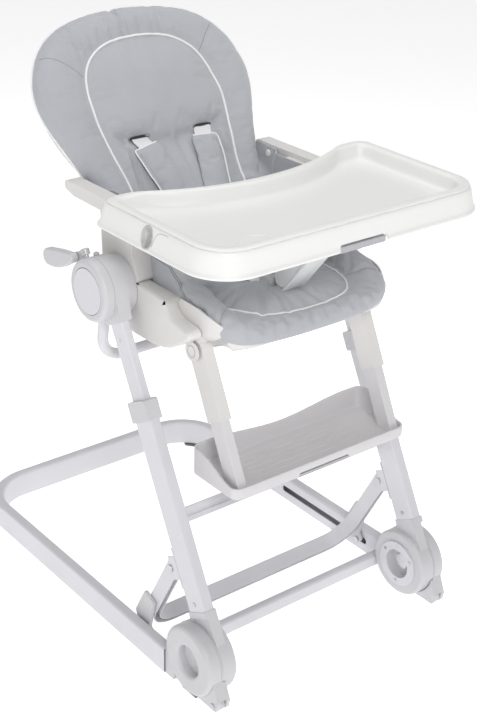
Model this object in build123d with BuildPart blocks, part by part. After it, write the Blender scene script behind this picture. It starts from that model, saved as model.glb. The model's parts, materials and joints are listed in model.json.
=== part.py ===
from build123d import *
import os
from math import atan, atan2, cos, degrees, hypot, radians, sin

os.makedirs("parts", exist_ok=True)

# A folding baby high chair. +Z is up, the chair faces -Y and its left is +X.
# Origin: on the floor, in the middle of the whole chair's footprint. Millimetres.

SIDES = (("left", 1), ("right", -1))
running = 0.05               # radial clearance of a pin in its bore
gap = 0.5                    # clearance between pieces that slide or turn past each other
rivet_proud = 0.3            # low enough to pass inside the collar

# Widths run outwards from the seat, so that every piece follows the seat's width
bucket_half, bucket_wall = 197, 6
pad_half = bucket_half - 10
bolster_inner = pad_half - 37
ring_inner = bucket_half + 28             # x of the hinge ring's faces
ring_outer = ring_inner + 17.5
housing_inner = ring_outer + gap
tube_deep, tube_wide, tube_wall = 50, 24, 2
upper_deep, upper_wide = 38, 18
leg_x = housing_inner + tube_wide / 2
housing_outer = leg_x + 38
hub_inner, hub_seam = leg_x - 25, leg_x + 7    # x of the hub's inner face and of its seam
rail_x = leg_x + 28                       # centre line of each side rail
hub_outer = rail_x + 9
nose_inner, nose_outer = leg_x + 1, rail_x + 1
arm_inner = bucket_half + 8
arm_outer = arm_inner + 30
hanger_x = pad_half - 7
plate_half = hanger_x + 23
tray_half = arm_outer + 71

# Base
rail_wide = 22
rail_tall = 56
rail_wall = 2
foot_tall = 3                # rubber foot under the rail
rail_rear = 428              # outer face of the rear bar
rail_corner = 110            # outer radius of the rear corners
rail_edge = 5                # rounding of the rail's long edges
hub_radius = 68
hub_y, hub_z = -346, foot_tall + hub_radius    # hub centre
dish_radius = 30             # hole in the middle of the hub
hub_ring_radius, hub_screw_circle, hub_screw_radius = 47, 39, 3.5
web_inner = hub_inner + 14   # the hub's web, which its axle goes through
axle_radius = 10
nose_tip = hub_y - 82
roller_radius, roller_wide, roller_bore = 11, 11, 3
roller_y, roller_lift = hub_y - 68, 2.5
roller_x = (nose_inner + nose_outer) / 2
front_bar_y, front_bar_z = hub_y + 84, 30
front_bar_deep, front_bar_tall = 18, 30

# Legs: the leg line is given by a lean and by how far it passes in front of the hub centre
lean = 28.0                  # degrees back from upright
leg_offset = -38.8           # the leg line from the hub centre, rearwards positive
socket_end, collar_start, collar_end, housing_start = 86, 436, 474, 615    # along the leg line
lower_tube_end = collar_end - 14
collar_lip = 3
upper_tube_start, upper_tube_end = 310, 655
cross_along, cross_tall, cross_deep = 250, 26, 12
bolt_radius, head_proud = 4, 1.5

# Brace, whose pins slide in the rails
pivot_y, pivot_z = hub_y + 86, hub_z + 143
slider_y, slider_z = -193, 33
arm_foot_y, arm_foot_z = -166, 34
arm_wide, arm_thick, brace_wall = 30, 14, 2    # the brace is a channel, open behind
brace_corner = 62
slot_front, slot_rear = -212, 60
slot_low, slot_high = 24, 38
slider_radius = 4
slider_reach = 11            # how far the slider pins go into the rail

# Disc hinge between the frame and the seat
disc_y, disc_z = hub_y + 298, hub_z + 613.7
disc_radius, cap_radius = 57, 42
cross_tube_radius, cross_tube_bend = 10, 48
cross_tube_y, cross_tube_z = disc_y + 21, disc_z - 149.7
cross_tube_top_y, cross_tube_top = disc_y + 3, disc_z - 34.7
paddle_y, paddle_z = disc_y + 66, disc_z + 38.3
paddle_tip_y, paddle_tip_z = paddle_y + 76, paddle_z - 20
paddle_pin = 3
knob_x, knob_tilt, knob_root = leg_x + 17, 58, disc_radius - 13    # its bore starts knob_root from the centre
knob_stem, knob_radius, knob_travel = 4, 8, 3.5

# Seat, placed from the disc hinge
bucket_top, pan_low = disc_z + 16.3, disc_z - 50.7
seat_front, seat_rear = disc_y - 290, disc_y - 22
pan_bend = seat_front + 138              # where the pan starts to rise to the front
front_corner, shell_setback = 70, 16     # the shell's front edge stands behind the pad's
arm_top, arm_tall = disc_z + 149.3, 26
arm_rear, arm_front = disc_y + 158, disc_y - 198
recline_y, recline_z, recline_radius = disc_y + 40, disc_z - 12.7, 6
pad_top = pan_low + 50       # flat part of the seat pad
strap_thick = 3
buckle_y, buckle_tall, button_radius = seat_front + 144, 15, 9

# Backrest: its front face leans back through (back_y, back_z)
back_lean = 36.2
back_y, back_z = recline_y + 60, recline_z + 128
back_top, back_bottom, back_thick = 361, -120, 46
back_half = bucket_half + 39
back_low_half = pad_half - 11
back_shell_thick = 10
face_gap = 0.3               # between the pad, the shell and the handle

# Footrest
hanger_y, hanger_z, hanger_lean = seat_front + 110, pan_low - 20, 26
stay_deep, stay_wide, stay_wall, stay_slack = 34, 19, 2, 0.4
sleeve_deep, sleeve_wide, sleeve_long = stay_deep + 6, stay_wide + 5, 129
stay_start = 72
hanger_pin = 6
lug_outer_thick, lug_inner_thick = 5, 8
plate_front, plate_rear, plate_floor = hanger_y - 134, hanger_y + 11, hanger_z - 224
plate_skirt, plate_front_top, plate_rear_top = plate_floor - 10, plate_floor + 13, plate_floor + 51
lever_half = 60

# Tray
tray_front, tray_rear = arm_front - 181.5, arm_front + 160
tray_low = arm_top - 9
tray_top, deck_low = tray_low + 43, tray_low + 13
tray_inset, tray_wall, deck_thick = 12, 4, 4
deck_high = deck_low + deck_thick
tray_rear_middle = tray_rear - 62
rim_wide = 22


def yz(inner, outer, sign):
    """Plane at a side piece's face with the lower x, from which it is extruded to its other face."""
    return Plane.YZ.offset(inner if sign > 0 else -outer)


def along_leg(along, offset=0.0):
    """Point (y, z) at a distance along the leg line, and rearwards of it."""
    a = radians(lean)
    across = leg_offset + offset
    return (hub_y + along * sin(a) + across * cos(a), hub_z + along * cos(a) - across * sin(a))


def on_back(s, behind=0.0):
    """Point (y, z) on the backrest's face, s up its slope, and behind it."""
    a = radians(back_lean)
    return (back_y + s * sin(a) + behind * cos(a), back_z + s * cos(a) - behind * sin(a))


def on_hanger(along, offset=0.0):
    """Point (y, z) down the footrest hanger from its pivot, and forwards of it."""
    a = radians(hanger_lean)
    return (hanger_y - along * sin(a) - offset * cos(a), hanger_z - along * cos(a) + offset * sin(a))


def save(piece, name):
    piece.part.label = name
    export_step(piece.part, f"parts/{name}.step")


rail_inner = rail_x - rail_wide / 2
rail_front = hub_y + hub_radius + gap

# ---- Base ----
with BuildPart() as base_rail:
    with BuildSketch(Plane.XY.offset(foot_tall)):
        with BuildLine():
            FilletPolyline(
                (-rail_x, rail_front), (-rail_x, rail_rear - rail_wide / 2),
                (rail_x, rail_rear - rail_wide / 2), (rail_x, rail_front), radius=rail_corner - rail_wide / 2)
            offset(amount=rail_wide / 2, side=Side.BOTH, closed=True, kind=Kind.ARC)
        make_face()
        with Locations((rail_x, rail_front - rail_wide / 2), (-rail_x, rail_front - rail_wide / 2)):
            Rectangle(rail_wide + 2, rail_wide, mode=Mode.SUBTRACT)
    extrude(amount=rail_tall)
    flat_edges = base_rail.faces().filter_by(Axis.Z).edges()
    long_edges = flat_edges.filter_by(lambda e: e.center().Y > rail_front + 1)
    fillet(long_edges, rail_edge)
    # the rail is a tube, open at its front ends
    with BuildSketch(Plane.XY.offset(foot_tall + rail_wall)):
        with BuildLine():
            FilletPolyline(
                (-rail_x, rail_front - 2), (-rail_x, rail_rear - rail_wide / 2),
                (rail_x, rail_rear - rail_wide / 2), (rail_x, rail_front - 2),
                radius=rail_corner - rail_wide / 2)
            offset(amount=rail_wide / 2 - rail_wall, side=Side.BOTH, closed=True, kind=Kind.ARC)
        make_face()
    extrude(amount=rail_tall - 2 * rail_wall, mode=Mode.SUBTRACT)
    for _, sign in SIDES:
        with BuildSketch(yz(rail_inner - 1, rail_inner + rail_wall + 1, sign)):
            with Locations(((slot_front + slot_rear) / 2, (slot_low + slot_high) / 2)):
                SlotOverall(slot_rear - slot_front, slot_high - slot_low)
        extrude(amount=rail_wall + 2, mode=Mode.SUBTRACT)
save(base_rail, "base_rail")

with BuildPart() as hub_foot:
    with Locations((0, hub_y, 0)):
        Box(rail_wide - 2, 40, foot_tall + 4, align=(Align.CENTER, Align.CENTER, Align.MIN))
    with BuildSketch(Plane.YZ.offset(-rail_wide)):
        with Locations((hub_y, hub_z)):
            Circle(hub_radius)
    extrude(amount=2 * rail_wide, mode=Mode.SUBTRACT)

with BuildPart() as base_feet:
    for _, sign in SIDES:
        with BuildSketch(Plane.XY):
            with Locations((sign * (rail_x - 22), rail_rear - 62)):
                SlotOverall(60, rail_wide - 6, rotation=-sign * 52)
        extrude(amount=foot_tall)
    with Locations(*[(sign * (hub_seam + 14), 0, 0) for _, sign in SIDES]):
        add(hub_foot.part)
save(base_feet, "base_feet")

with BuildPart() as front_crossbar:
    with Locations((0, front_bar_y, front_bar_z)):
        Box(2 * rail_inner, front_bar_deep, front_bar_tall)
    fillet(front_crossbar.edges().filter_by(Axis.X), 6)
    with Locations((0, front_bar_y, front_bar_z)):
        Box(2 * rail_inner, front_bar_deep - 2 * rail_wall, front_bar_tall - 2 * rail_wall,
            mode=Mode.SUBTRACT)
save(front_crossbar, "front_crossbar")

for side, sign in SIDES:
    with BuildPart() as hub_cover:
        with BuildSketch(yz(hub_seam + gap, hub_outer, sign)):
            with Locations((hub_y, hub_z)):
                Circle(hub_radius)
        extrude(amount=hub_outer - hub_seam - gap)
        fillet(hub_cover.edges().filter_by(GeomType.CIRCLE).filter_by(
            lambda e: abs(abs(e.center().X) - hub_outer) < 1), 9)
        with BuildSketch(yz(hub_outer - 17, hub_outer + 1, sign)):
            with Locations((hub_y, hub_z)):
                Circle(dish_radius)
        extrude(amount=18, mode=Mode.SUBTRACT)
        fillet(hub_cover.edges().filter_by(GeomType.CIRCLE).filter_by(
            lambda e: abs(e.radius - dish_radius) < 0.1 and abs(abs(e.center().X) - hub_outer) < 1), 7)
        # the end that the rail butts against
        with BuildSketch(yz(rail_inner, hub_outer - 2, sign)):
            with Locations(((hub_y + 42 + rail_front) / 2, foot_tall + rail_tall / 2)):
                Rectangle(rail_front - hub_y - 42, rail_tall - 2)
        extrude(amount=hub_outer - 2 - rail_inner)
    save(hub_cover, f"{side}_hub_cover")

    with BuildPart() as nose:
        with BuildSketch(yz(nose_inner, nose_outer, sign)):
            with BuildLine():
                FilletPolyline(
                    (hub_y - 22, 4), (hub_y - 22, 60), (hub_y - 50, 96), (nose_tip + 18, 66), (nose_tip, 24),
                    (nose_tip + 4, 4), radius=7, close=True)
            make_face()
            with Locations((hub_y, hub_z)):
                Circle(hub_radius, mode=Mode.SUBTRACT)
        extrude(amount=nose_outer - nose_inner)
        with BuildSketch(yz(nose_inner - 1, hub_seam + gap, sign)):
            with Locations((hub_y, hub_z)):
                Circle(hub_radius + 2)
        extrude(amount=hub_seam + gap - nose_inner + 1, mode=Mode.SUBTRACT)
        with BuildSketch(yz(roller_x - roller_wide / 2 - 1, roller_x + roller_wide / 2 + 1, sign)):
            with Locations((roller_y, roller_radius + roller_lift)):
                Circle(roller_radius + 2)
            with Locations((roller_y - 15, roller_radius + roller_lift), (roller_y, -3)):
                Rectangle(30, 2 * roller_radius + 4)
        extrude(amount=roller_wide + 2, mode=Mode.SUBTRACT)
        with BuildSketch(yz(nose_inner - 1, nose_outer + 1, sign)):
            with Locations((roller_y, roller_radius + roller_lift)):
                Circle(roller_bore)
        extrude(amount=nose_outer - nose_inner + 2, mode=Mode.SUBTRACT)
    save(nose, f"{side}_nose")

    with BuildPart() as roller:
        with BuildSketch(yz(roller_x - roller_wide / 2, roller_x + roller_wide / 2, sign)):
            with Locations((roller_y, roller_radius + roller_lift)):
                Circle(roller_radius)
                Circle(roller_bore + running, mode=Mode.SUBTRACT)
        extrude(amount=roller_wide)
        fillet(roller.edges().filter_by(GeomType.CIRCLE).group_by(SortBy.RADIUS)[-1], 2)
    save(roller, f"{side}_roller")

with BuildPart() as roller_pins:
    for _, sign in SIDES:
        for low, high, radius in ((nose_inner, nose_outer, roller_bore), (nose_outer, nose_outer + 2, 5)):
            with BuildSketch(yz(low, high, sign)):
                with Locations((roller_y, roller_radius + roller_lift)):
                    Circle(radius)
            extrude(amount=high - low)
save(roller_pins, "roller_pins")

with BuildPart() as hub_axles:
    for _, sign in SIDES:
        steps = ((web_inner - gap, hub_seam + gap, axle_radius), (web_inner - 4, web_inner - gap, 16))
        for low, high, radius in steps:
            with BuildSketch(yz(low, high, sign)):
                with Locations((hub_y, hub_z)):
                    Circle(radius)
            extrude(amount=high - low)
save(hub_axles, "hub_axles")

# ---- Lower legs ----
leg_turn = -lean            # turns a sketch's Y onto the leg line
tube_bore_deep, tube_bore_wide = (size - 2 * tube_wall - 2 * gap for size in (tube_deep, tube_wide))
for side, sign in SIDES:
    with BuildPart() as hub_socket:
        low, high = leg_x - tube_wide / 2 - 1, leg_x + tube_wide / 2 + 1
        with BuildSketch(yz(hub_inner, hub_seam, sign)):
            with Locations((hub_y, hub_z)):
                Circle(hub_radius)
        extrude(amount=hub_seam - hub_inner)
        fillet(hub_socket.edges().filter_by(GeomType.CIRCLE).filter_by(
            lambda e: abs(abs(e.center().X) - hub_inner) < 1), 6)
        for start, end, face in ((2, 76, hub_seam), (74, socket_end, high)):
            with BuildSketch(yz(low, face, sign)):
                with Locations(Location(along_leg((start + end) / 2), leg_turn)):
                    Rectangle(tube_deep + 2, end - start)
            extrude(amount=face - low)
        with BuildSketch(yz(leg_x - tube_bore_wide / 2, leg_x + tube_bore_wide / 2, sign)):
            with Locations(Location(along_leg(socket_end + 14), leg_turn)):
                Rectangle(tube_bore_deep, 30)
        extrude(amount=tube_bore_wide)
        with BuildSketch(yz(hub_inner - 1, web_inner, sign)):
            with Locations((hub_y, hub_z)):
                Circle(dish_radius)
        extrude(amount=web_inner - hub_inner + 1, mode=Mode.SUBTRACT)
        with BuildSketch(yz(web_inner - 1, hub_seam + 1, sign)):
            with Locations((hub_y, hub_z)):
                Circle(axle_radius + running)
        extrude(amount=hub_seam - web_inner + 2, mode=Mode.SUBTRACT)
    save(hub_socket, f"{side}_hub_socket")

    with BuildPart() as leg_tube:
        with BuildSketch(yz(leg_x - tube_wide / 2, leg_x + tube_wide / 2, sign)):
            with Locations(Location(along_leg((socket_end + lower_tube_end) / 2), leg_turn)):
                Rectangle(tube_deep, lower_tube_end - socket_end)
        extrude(amount=tube_wide)
        fillet(leg_tube.edges().group_by(SortBy.LENGTH)[-1], 5)
        with BuildSketch(yz(leg_x - tube_wide / 2 + tube_wall, leg_x + tube_wide / 2 - tube_wall, sign)):
            with Locations(Location(along_leg((socket_end + lower_tube_end) / 2), leg_turn)):
                Rectangle(tube_deep - 2 * tube_wall, lower_tube_end - socket_end + 2)
        extrude(amount=tube_wide - 2 * tube_wall, mode=Mode.SUBTRACT)
    save(leg_tube, f"{side}_leg_tube")

with BuildPart() as hub_rings:
    for _, sign in SIDES:
        with BuildSketch(yz(hub_inner - 4, hub_inner, sign)):
            with Locations((hub_y, hub_z)):
                Circle(hub_ring_radius)
                Circle(dish_radius, mode=Mode.SUBTRACT)
                with PolarLocations(hub_screw_circle, 3, start_angle=30):
                    Circle(hub_screw_radius, mode=Mode.SUBTRACT)
        extrude(amount=4)
save(hub_rings, "hub_rings")

with BuildPart() as hub_screws:
    for _, sign in SIDES:
        with BuildSketch(yz(hub_inner - 5, hub_inner, sign)):
            with Locations((hub_y, hub_z)):
                with PolarLocations(hub_screw_circle, 3, start_angle=30):
                    Circle(hub_screw_radius)
        extrude(amount=5)
save(hub_screws, "hub_screws")

with BuildPart() as leg_collars:
    for _, sign in SIDES:
        low, high = leg_x - tube_wide / 2 - collar_lip, leg_x + tube_wide / 2 + collar_lip
        with BuildSketch(yz(low, high, sign)):
            with Locations(Location(along_leg((collar_start + collar_end) / 2), leg_turn)):
                RectangleRounded(tube_deep + 2 * collar_lip, collar_end - collar_start, 4)
        extrude(amount=high - low)
        with BuildSketch(yz(leg_x - tube_wide / 2, leg_x + tube_wide / 2, sign)):
            with Locations(Location(along_leg((collar_start + lower_tube_end) / 2 - 10), leg_turn)):
                Rectangle(tube_deep, lower_tube_end - collar_start + 20)
        extrude(amount=tube_wide, mode=Mode.SUBTRACT)
        with BuildSketch(yz(leg_x - upper_wide / 2 - gap, leg_x + upper_wide / 2 + gap, sign)):
            with Locations(Location(along_leg(collar_end), leg_turn)):
                Rectangle(upper_deep + 2 * gap, 60)
        extrude(amount=upper_wide + 2 * gap, mode=Mode.SUBTRACT)
save(leg_collars, "leg_collars")

with BuildPart() as leg_crossbar:
    with BuildSketch(Plane.YZ.offset(-leg_x)):
        with Locations(Location(along_leg(cross_along, tube_deep / 2 + cross_deep / 2), leg_turn)):
            Rectangle(cross_deep, cross_tall)
        with Locations(Location(along_leg(cross_along, tube_deep / 2), leg_turn)):
            Rectangle(6, 7, mode=Mode.SUBTRACT)
    extrude(amount=2 * leg_x)
save(leg_crossbar, "leg_crossbar")

# the brace's pivot, along the leg line and behind it
bracket_along = (pivot_y - hub_y) * sin(radians(lean)) + (pivot_z - hub_z) * cos(radians(lean))
bracket_reach = (pivot_y - hub_y) * cos(radians(lean)) - (pivot_z - hub_z) * sin(radians(lean)) - leg_offset
cheek_half = arm_thick / 2 + gap
with BuildPart() as brace_brackets:
    for _, sign in SIDES:
        low, high = leg_x - cheek_half - 3, leg_x + cheek_half + 3
        with BuildSketch(yz(low, high, sign)):
            with Locations(Location(along_leg(bracket_along, (tube_deep / 2 + bracket_reach) / 2), leg_turn)):
                Rectangle(bracket_reach - tube_deep / 2, 44)
            with Locations(Location(along_leg(bracket_along, bracket_reach), leg_turn)):
                Circle(12)
            with Locations(Location(along_leg(bracket_along, tube_deep / 2 + 1.5), leg_turn)):
                Rectangle(3, 76)
        extrude(amount=high - low)
        with BuildSketch(yz(leg_x - cheek_half, leg_x + cheek_half, sign)):
            with Locations(Location(along_leg(bracket_along, tube_deep / 2 + 3 + 50), leg_turn)):
                Rectangle(100, 90)
        extrude(amount=2 * cheek_half, mode=Mode.SUBTRACT)
        with BuildSketch(yz(low - 1, high + 1, sign)):
            with Locations((pivot_y, pivot_z)):
                Circle(bolt_radius)
        extrude(amount=high - low + 2, mode=Mode.SUBTRACT)
save(brace_brackets, "brace_brackets")

with BuildPart() as leg_bolts:
    for _, sign in SIDES:
        low, high = leg_x - cheek_half - 3, leg_x + cheek_half + 3
        for start, end, radius in ((low, high, bolt_radius), (low - 2.5, low, 7), (high, high + 2.5, 7)):
            with BuildSketch(yz(start, end, sign)):
                with Locations((pivot_y, pivot_z)):
                    Circle(radius)
            extrude(amount=end - start)
        for start in (leg_x - tube_wide / 2 - head_proud, leg_x + tube_wide / 2):
            with BuildSketch(yz(start, start + head_proud, sign)):
                with Locations(along_leg(socket_end + 14)):
                    Circle(bolt_radius)
            extrude(amount=head_proud)
save(leg_bolts, "leg_bolts")

# ---- Brace ----
arm_turn = degrees(atan2(arm_foot_y - pivot_y, pivot_z - arm_foot_z))
arm_long = hypot(arm_foot_y - pivot_y, pivot_z - arm_foot_z)
brace_plane = Plane(origin=(0, pivot_y, pivot_z), x_dir=(1, 0, 0),
                    z_dir=(0, -cos(radians(arm_turn)), -sin(radians(arm_turn))))
with BuildPart() as brace_frame:
    with BuildSketch(brace_plane.offset(-arm_wide / 2)):
        with BuildLine():
            FilletPolyline((-leg_x, 0), (-leg_x, -arm_long), (leg_x, -arm_long), (leg_x, 0),
                           radius=brace_corner)
            offset(amount=arm_thick / 2, side=Side.BOTH, closed=True, kind=Kind.ARC)
        make_face()
    extrude(amount=arm_wide)
    with BuildSketch(brace_plane.offset(-arm_wide / 2 + brace_wall)):
        with BuildLine():
            FilletPolyline((-leg_x, -26), (-leg_x, -arm_long), (leg_x, -arm_long), (leg_x, -26),
                           radius=brace_corner)
            offset(amount=arm_thick / 2 - brace_wall, side=Side.BOTH, closed=True, kind=Kind.ARC)
        make_face()
    extrude(amount=arm_wide - brace_wall + 1, mode=Mode.SUBTRACT)
    for _, sign in SIDES:
        with BuildSketch(yz(leg_x - arm_thick, leg_x + arm_thick, sign)):
            with Locations((pivot_y, pivot_z)):
                Circle(bolt_radius + running)
        extrude(amount=2 * arm_thick, mode=Mode.SUBTRACT)
save(brace_frame, "brace_frame")

lug_outer = rail_inner - 2
with BuildPart() as brace_corners:
    for _, sign in SIDES:
        with BuildSketch(yz(leg_x + arm_thick / 2, lug_outer, sign)):
            with BuildLine():
                FilletPolyline(
                    (slider_y - 13, slider_z + 3), (slider_y - 4, slider_z + 15),
                    (arm_foot_y - 46, arm_foot_z + 74),
                    (arm_foot_y - 16, arm_foot_z + 88), (arm_foot_y + 14, arm_foot_z + 30),
                    (arm_foot_y + 4, arm_foot_z + 8), (slider_y, slider_z - 12), radius=5, close=True)
            make_face()
        extrude(amount=lug_outer - leg_x - arm_thick / 2)
save(brace_corners, "brace_corners")

with BuildPart() as slider_pins:
    for _, sign in SIDES:
        low, high = lug_outer, rail_inner + slider_reach
        with BuildSketch(yz(low, high, sign)):
            with Locations((slider_y, slider_z)):
                Circle(slider_radius)
        extrude(amount=high - low)
        with BuildSketch(yz(leg_x + arm_thick / 2 - 3, leg_x + arm_thick / 2, sign)):
            with Locations((slider_y, slider_z)):
                Circle(7)
        extrude(amount=3)
save(slider_pins, "slider_pins")

# ---- Upper frame ----
tube_lean = atan2(cross_tube_y - cross_tube_top_y, cross_tube_top - cross_tube_z)
knob_out = (0, cos(radians(knob_tilt)), sin(radians(knob_tilt)))
for side, sign in SIDES:
    knob_plane = Plane(origin=(sign * knob_x, disc_y + knob_root * knob_out[1],
                               disc_z + knob_root * knob_out[2]),
                       x_dir=(1, 0, 0), z_dir=knob_out)
    with BuildPart() as upper_tube:
        with BuildSketch(yz(leg_x - upper_wide / 2, leg_x + upper_wide / 2, sign)):
            with Locations(Location(along_leg((upper_tube_start + upper_tube_end) / 2), leg_turn)):
                Rectangle(upper_deep, upper_tube_end - upper_tube_start)
        extrude(amount=upper_wide)
        fillet(upper_tube.edges().group_by(SortBy.LENGTH)[-1], 4)
        with BuildSketch(yz(leg_x - upper_wide / 2 + tube_wall, leg_x + upper_wide / 2 - tube_wall, sign)):
            with Locations(Location(along_leg((upper_tube_start + upper_tube_end) / 2), leg_turn)):
                Rectangle(upper_deep - 2 * tube_wall, upper_tube_end - upper_tube_start + 2)
        extrude(amount=upper_wide - 2 * tube_wall, mode=Mode.SUBTRACT)
    save(upper_tube, f"{side}_upper_tube")

    with BuildPart() as hinge_housing:
        with BuildSketch(yz(housing_inner, housing_outer, sign)):
            with Locations((disc_y, disc_z)):
                Circle(disc_radius)
        extrude(amount=housing_outer - housing_inner)
        fillet(hinge_housing.edges().filter_by(GeomType.CIRCLE).filter_by(
            lambda e: abs(abs(e.center().X) - housing_outer) < 1), 8)
        with BuildSketch(yz(housing_inner, leg_x + upper_wide / 2 + 5, sign)):
            with BuildLine():
                Polyline(along_leg(housing_start, -upper_deep / 2 - 4),
                         along_leg(housing_start, upper_deep / 2 + 4), along_leg(662, 46), along_leg(690, 30),
                         along_leg(690, -30), along_leg(662, -38), close=True)
            make_face()
        extrude(amount=leg_x + upper_wide / 2 + 5 - housing_inner)
        with BuildSketch(yz(housing_outer - 4, housing_outer + 1, sign)):
            with Locations((disc_y, disc_z)):
                Circle(cap_radius + 1)
        extrude(amount=5, mode=Mode.SUBTRACT)
        with BuildSketch(yz(leg_x - upper_wide / 2, leg_x + upper_wide / 2, sign)):
            with Locations(Location(along_leg((housing_start + upper_tube_end) / 2 - 5), leg_turn)):
                Rectangle(upper_deep, upper_tube_end - housing_start + 10)
        extrude(amount=upper_wide, mode=Mode.SUBTRACT)
        # ear that carries the paddle's pin
        with BuildSketch(yz(leg_x + 6, leg_x + 16, sign)):
            with BuildLine():
                Line((disc_y + 34, disc_z + 38), (paddle_y - 4, paddle_z + 8))
                ThreePointArc((paddle_y - 4, paddle_z + 8), (paddle_y + 9, paddle_z),
                              (paddle_y - 1, paddle_z - 9))
                Line((paddle_y - 1, paddle_z - 9), (disc_y + 50, disc_z + 6))
                Line((disc_y + 50, disc_z + 6), (disc_y + 34, disc_z + 38))
            make_face()
        extrude(amount=10)
        # blind hole for the cross tube's end
        tube_top = Plane(origin=(sign * (leg_x - 1), cross_tube_top_y, cross_tube_top), x_dir=(1, 0, 0),
                         z_dir=(0, sin(tube_lean), -cos(tube_lean)))
        with BuildSketch(tube_top):
            Circle(cross_tube_radius + 0.1)
        extrude(amount=60, mode=Mode.SUBTRACT)
        # bore for the push knob's stem
        with BuildSketch(knob_plane):
            Circle(knob_stem + running)
        extrude(amount=20, mode=Mode.SUBTRACT)
    save(hinge_housing, f"{side}_hinge_housing")

    with BuildPart() as release_paddle:
        with BuildSketch(yz(leg_x + 16 + gap, leg_x + 32 + gap, sign)):
            with BuildLine():
                ThreePointArc((paddle_y + 2, paddle_z + 9), (paddle_y - 9, paddle_z - 1),
                              (paddle_y + 1, paddle_z - 9))
                Spline((paddle_y + 1, paddle_z - 9), (paddle_y + 34, paddle_z - 29),
                       (paddle_tip_y, paddle_tip_z - 17))
                ThreePointArc((paddle_tip_y, paddle_tip_z - 17), (paddle_tip_y + 15, paddle_tip_z),
                              (paddle_tip_y, paddle_tip_z + 15))
                Spline((paddle_tip_y, paddle_tip_z + 15), (paddle_y + 34, paddle_z + 4),
                       (paddle_y + 2, paddle_z + 9))
            make_face()
        extrude(amount=16)
        fillet(release_paddle.faces().filter_by(Axis.X).edges(), 3.5)
        with BuildSketch(yz(leg_x + 15, leg_x + 34, sign)):
            with Locations((paddle_y, paddle_z)):
                Circle(paddle_pin + running)
        extrude(amount=19, mode=Mode.SUBTRACT)
    save(release_paddle, f"{side}_release_paddle")

    with BuildPart() as push_knob:
        with BuildSketch(knob_plane.offset(knob_travel + gap)):
            Circle(knob_stem)
        extrude(amount=18 - knob_travel)
        with BuildSketch(knob_plane.offset(18)):
            Circle(knob_radius)
        extrude(amount=12)
        fillet(push_knob.edges().filter_by(GeomType.CIRCLE).group_by(Axis.Z)[-1], 2.5)
    save(push_knob, f"{side}_push_knob")

with BuildPart() as leg_glides:
    for _, sign in SIDES:
        with BuildSketch(yz(leg_x - tube_bore_wide / 2, leg_x + tube_bore_wide / 2, sign)):
            with Locations(Location(along_leg(upper_tube_start - 10), leg_turn)):
                Rectangle(tube_bore_deep, 20)
        extrude(amount=tube_bore_wide)
save(leg_glides, "leg_glides")

with BuildPart() as hinge_caps:
    for _, sign in SIDES:
        with BuildSketch(yz(housing_outer - 4, housing_outer + 1, sign)):
            with Locations((disc_y, disc_z)):
                Circle(cap_radius)
        extrude(amount=5)
save(hinge_caps, "hinge_caps")

with BuildPart() as hinge_pins:
    for _, sign in SIDES:
        with BuildSketch(yz(ring_inner + 2, housing_inner, sign)):
            with Locations((disc_y, disc_z)):
                Circle(axle_radius)
        extrude(amount=housing_inner - ring_inner - 2)
        with BuildSketch(yz(leg_x + 16, leg_x + 32 + gap, sign)):
            with Locations((paddle_y, paddle_z)):
                Circle(paddle_pin)
        extrude(amount=16 + gap)
        with BuildSketch(yz(leg_x + upper_wide / 2, leg_x + upper_wide / 2 + rivet_proud, sign)):
            with Locations(along_leg(housing_start - 31)):
                Circle(bolt_radius)
        extrude(amount=rivet_proud)
save(hinge_pins, "hinge_pins")

cross_plane = Plane(origin=(0, cross_tube_y, cross_tube_z), x_dir=(1, 0, 0),
                    z_dir=(0, -cos(tube_lean), -sin(tube_lean)))
cross_long = hypot(cross_tube_top_y - cross_tube_y, cross_tube_top - cross_tube_z)
with BuildPart() as rear_cross_tube:
    with BuildLine(cross_plane):
        path = FilletPolyline((1 - leg_x, cross_long), (1 - leg_x, 0), (leg_x - 1, 0),
                              (leg_x - 1, cross_long), radius=cross_tube_bend)
    with BuildSketch(Plane(origin=path @ 0, z_dir=path % 0)):
        Circle(cross_tube_radius)
        Circle(cross_tube_radius - tube_wall, mode=Mode.SUBTRACT)
    sweep(path=path)
save(rear_cross_tube, "rear_cross_tube")

# ---- Seat ----
def seat_plan(half, front, corner):
    """Plan of the seat between its sides, with round front corners."""
    with BuildSketch(Plane.XY.offset(pan_low - 60)) as outline:
        with BuildLine():
            Line((half, front + corner), (half, seat_rear + 10))
            Line((half, seat_rear + 10), (-half, seat_rear + 10))
            Line((-half, seat_rear + 10), (-half, front + corner))
            ThreePointArc((-half, front + corner), (0.293 * corner - half, front + 0.293 * corner),
                          (corner - half, front))
            Line((corner - half, front), (half - corner, front))
            ThreePointArc((half - corner, front), (half - 0.293 * corner, front + 0.293 * corner),
                          (half, front + corner))
        make_face()
    return outline.sketch


with BuildPart() as hinge_rings:
    for _, sign in SIDES:
        with BuildSketch(yz(ring_inner, ring_outer, sign)):
            with Locations((disc_y, disc_z)):
                Circle(disc_radius - 2)
                Circle(axle_radius + running, mode=Mode.SUBTRACT)
        extrude(amount=ring_outer - ring_inner)
save(hinge_rings, "hinge_rings")

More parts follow.
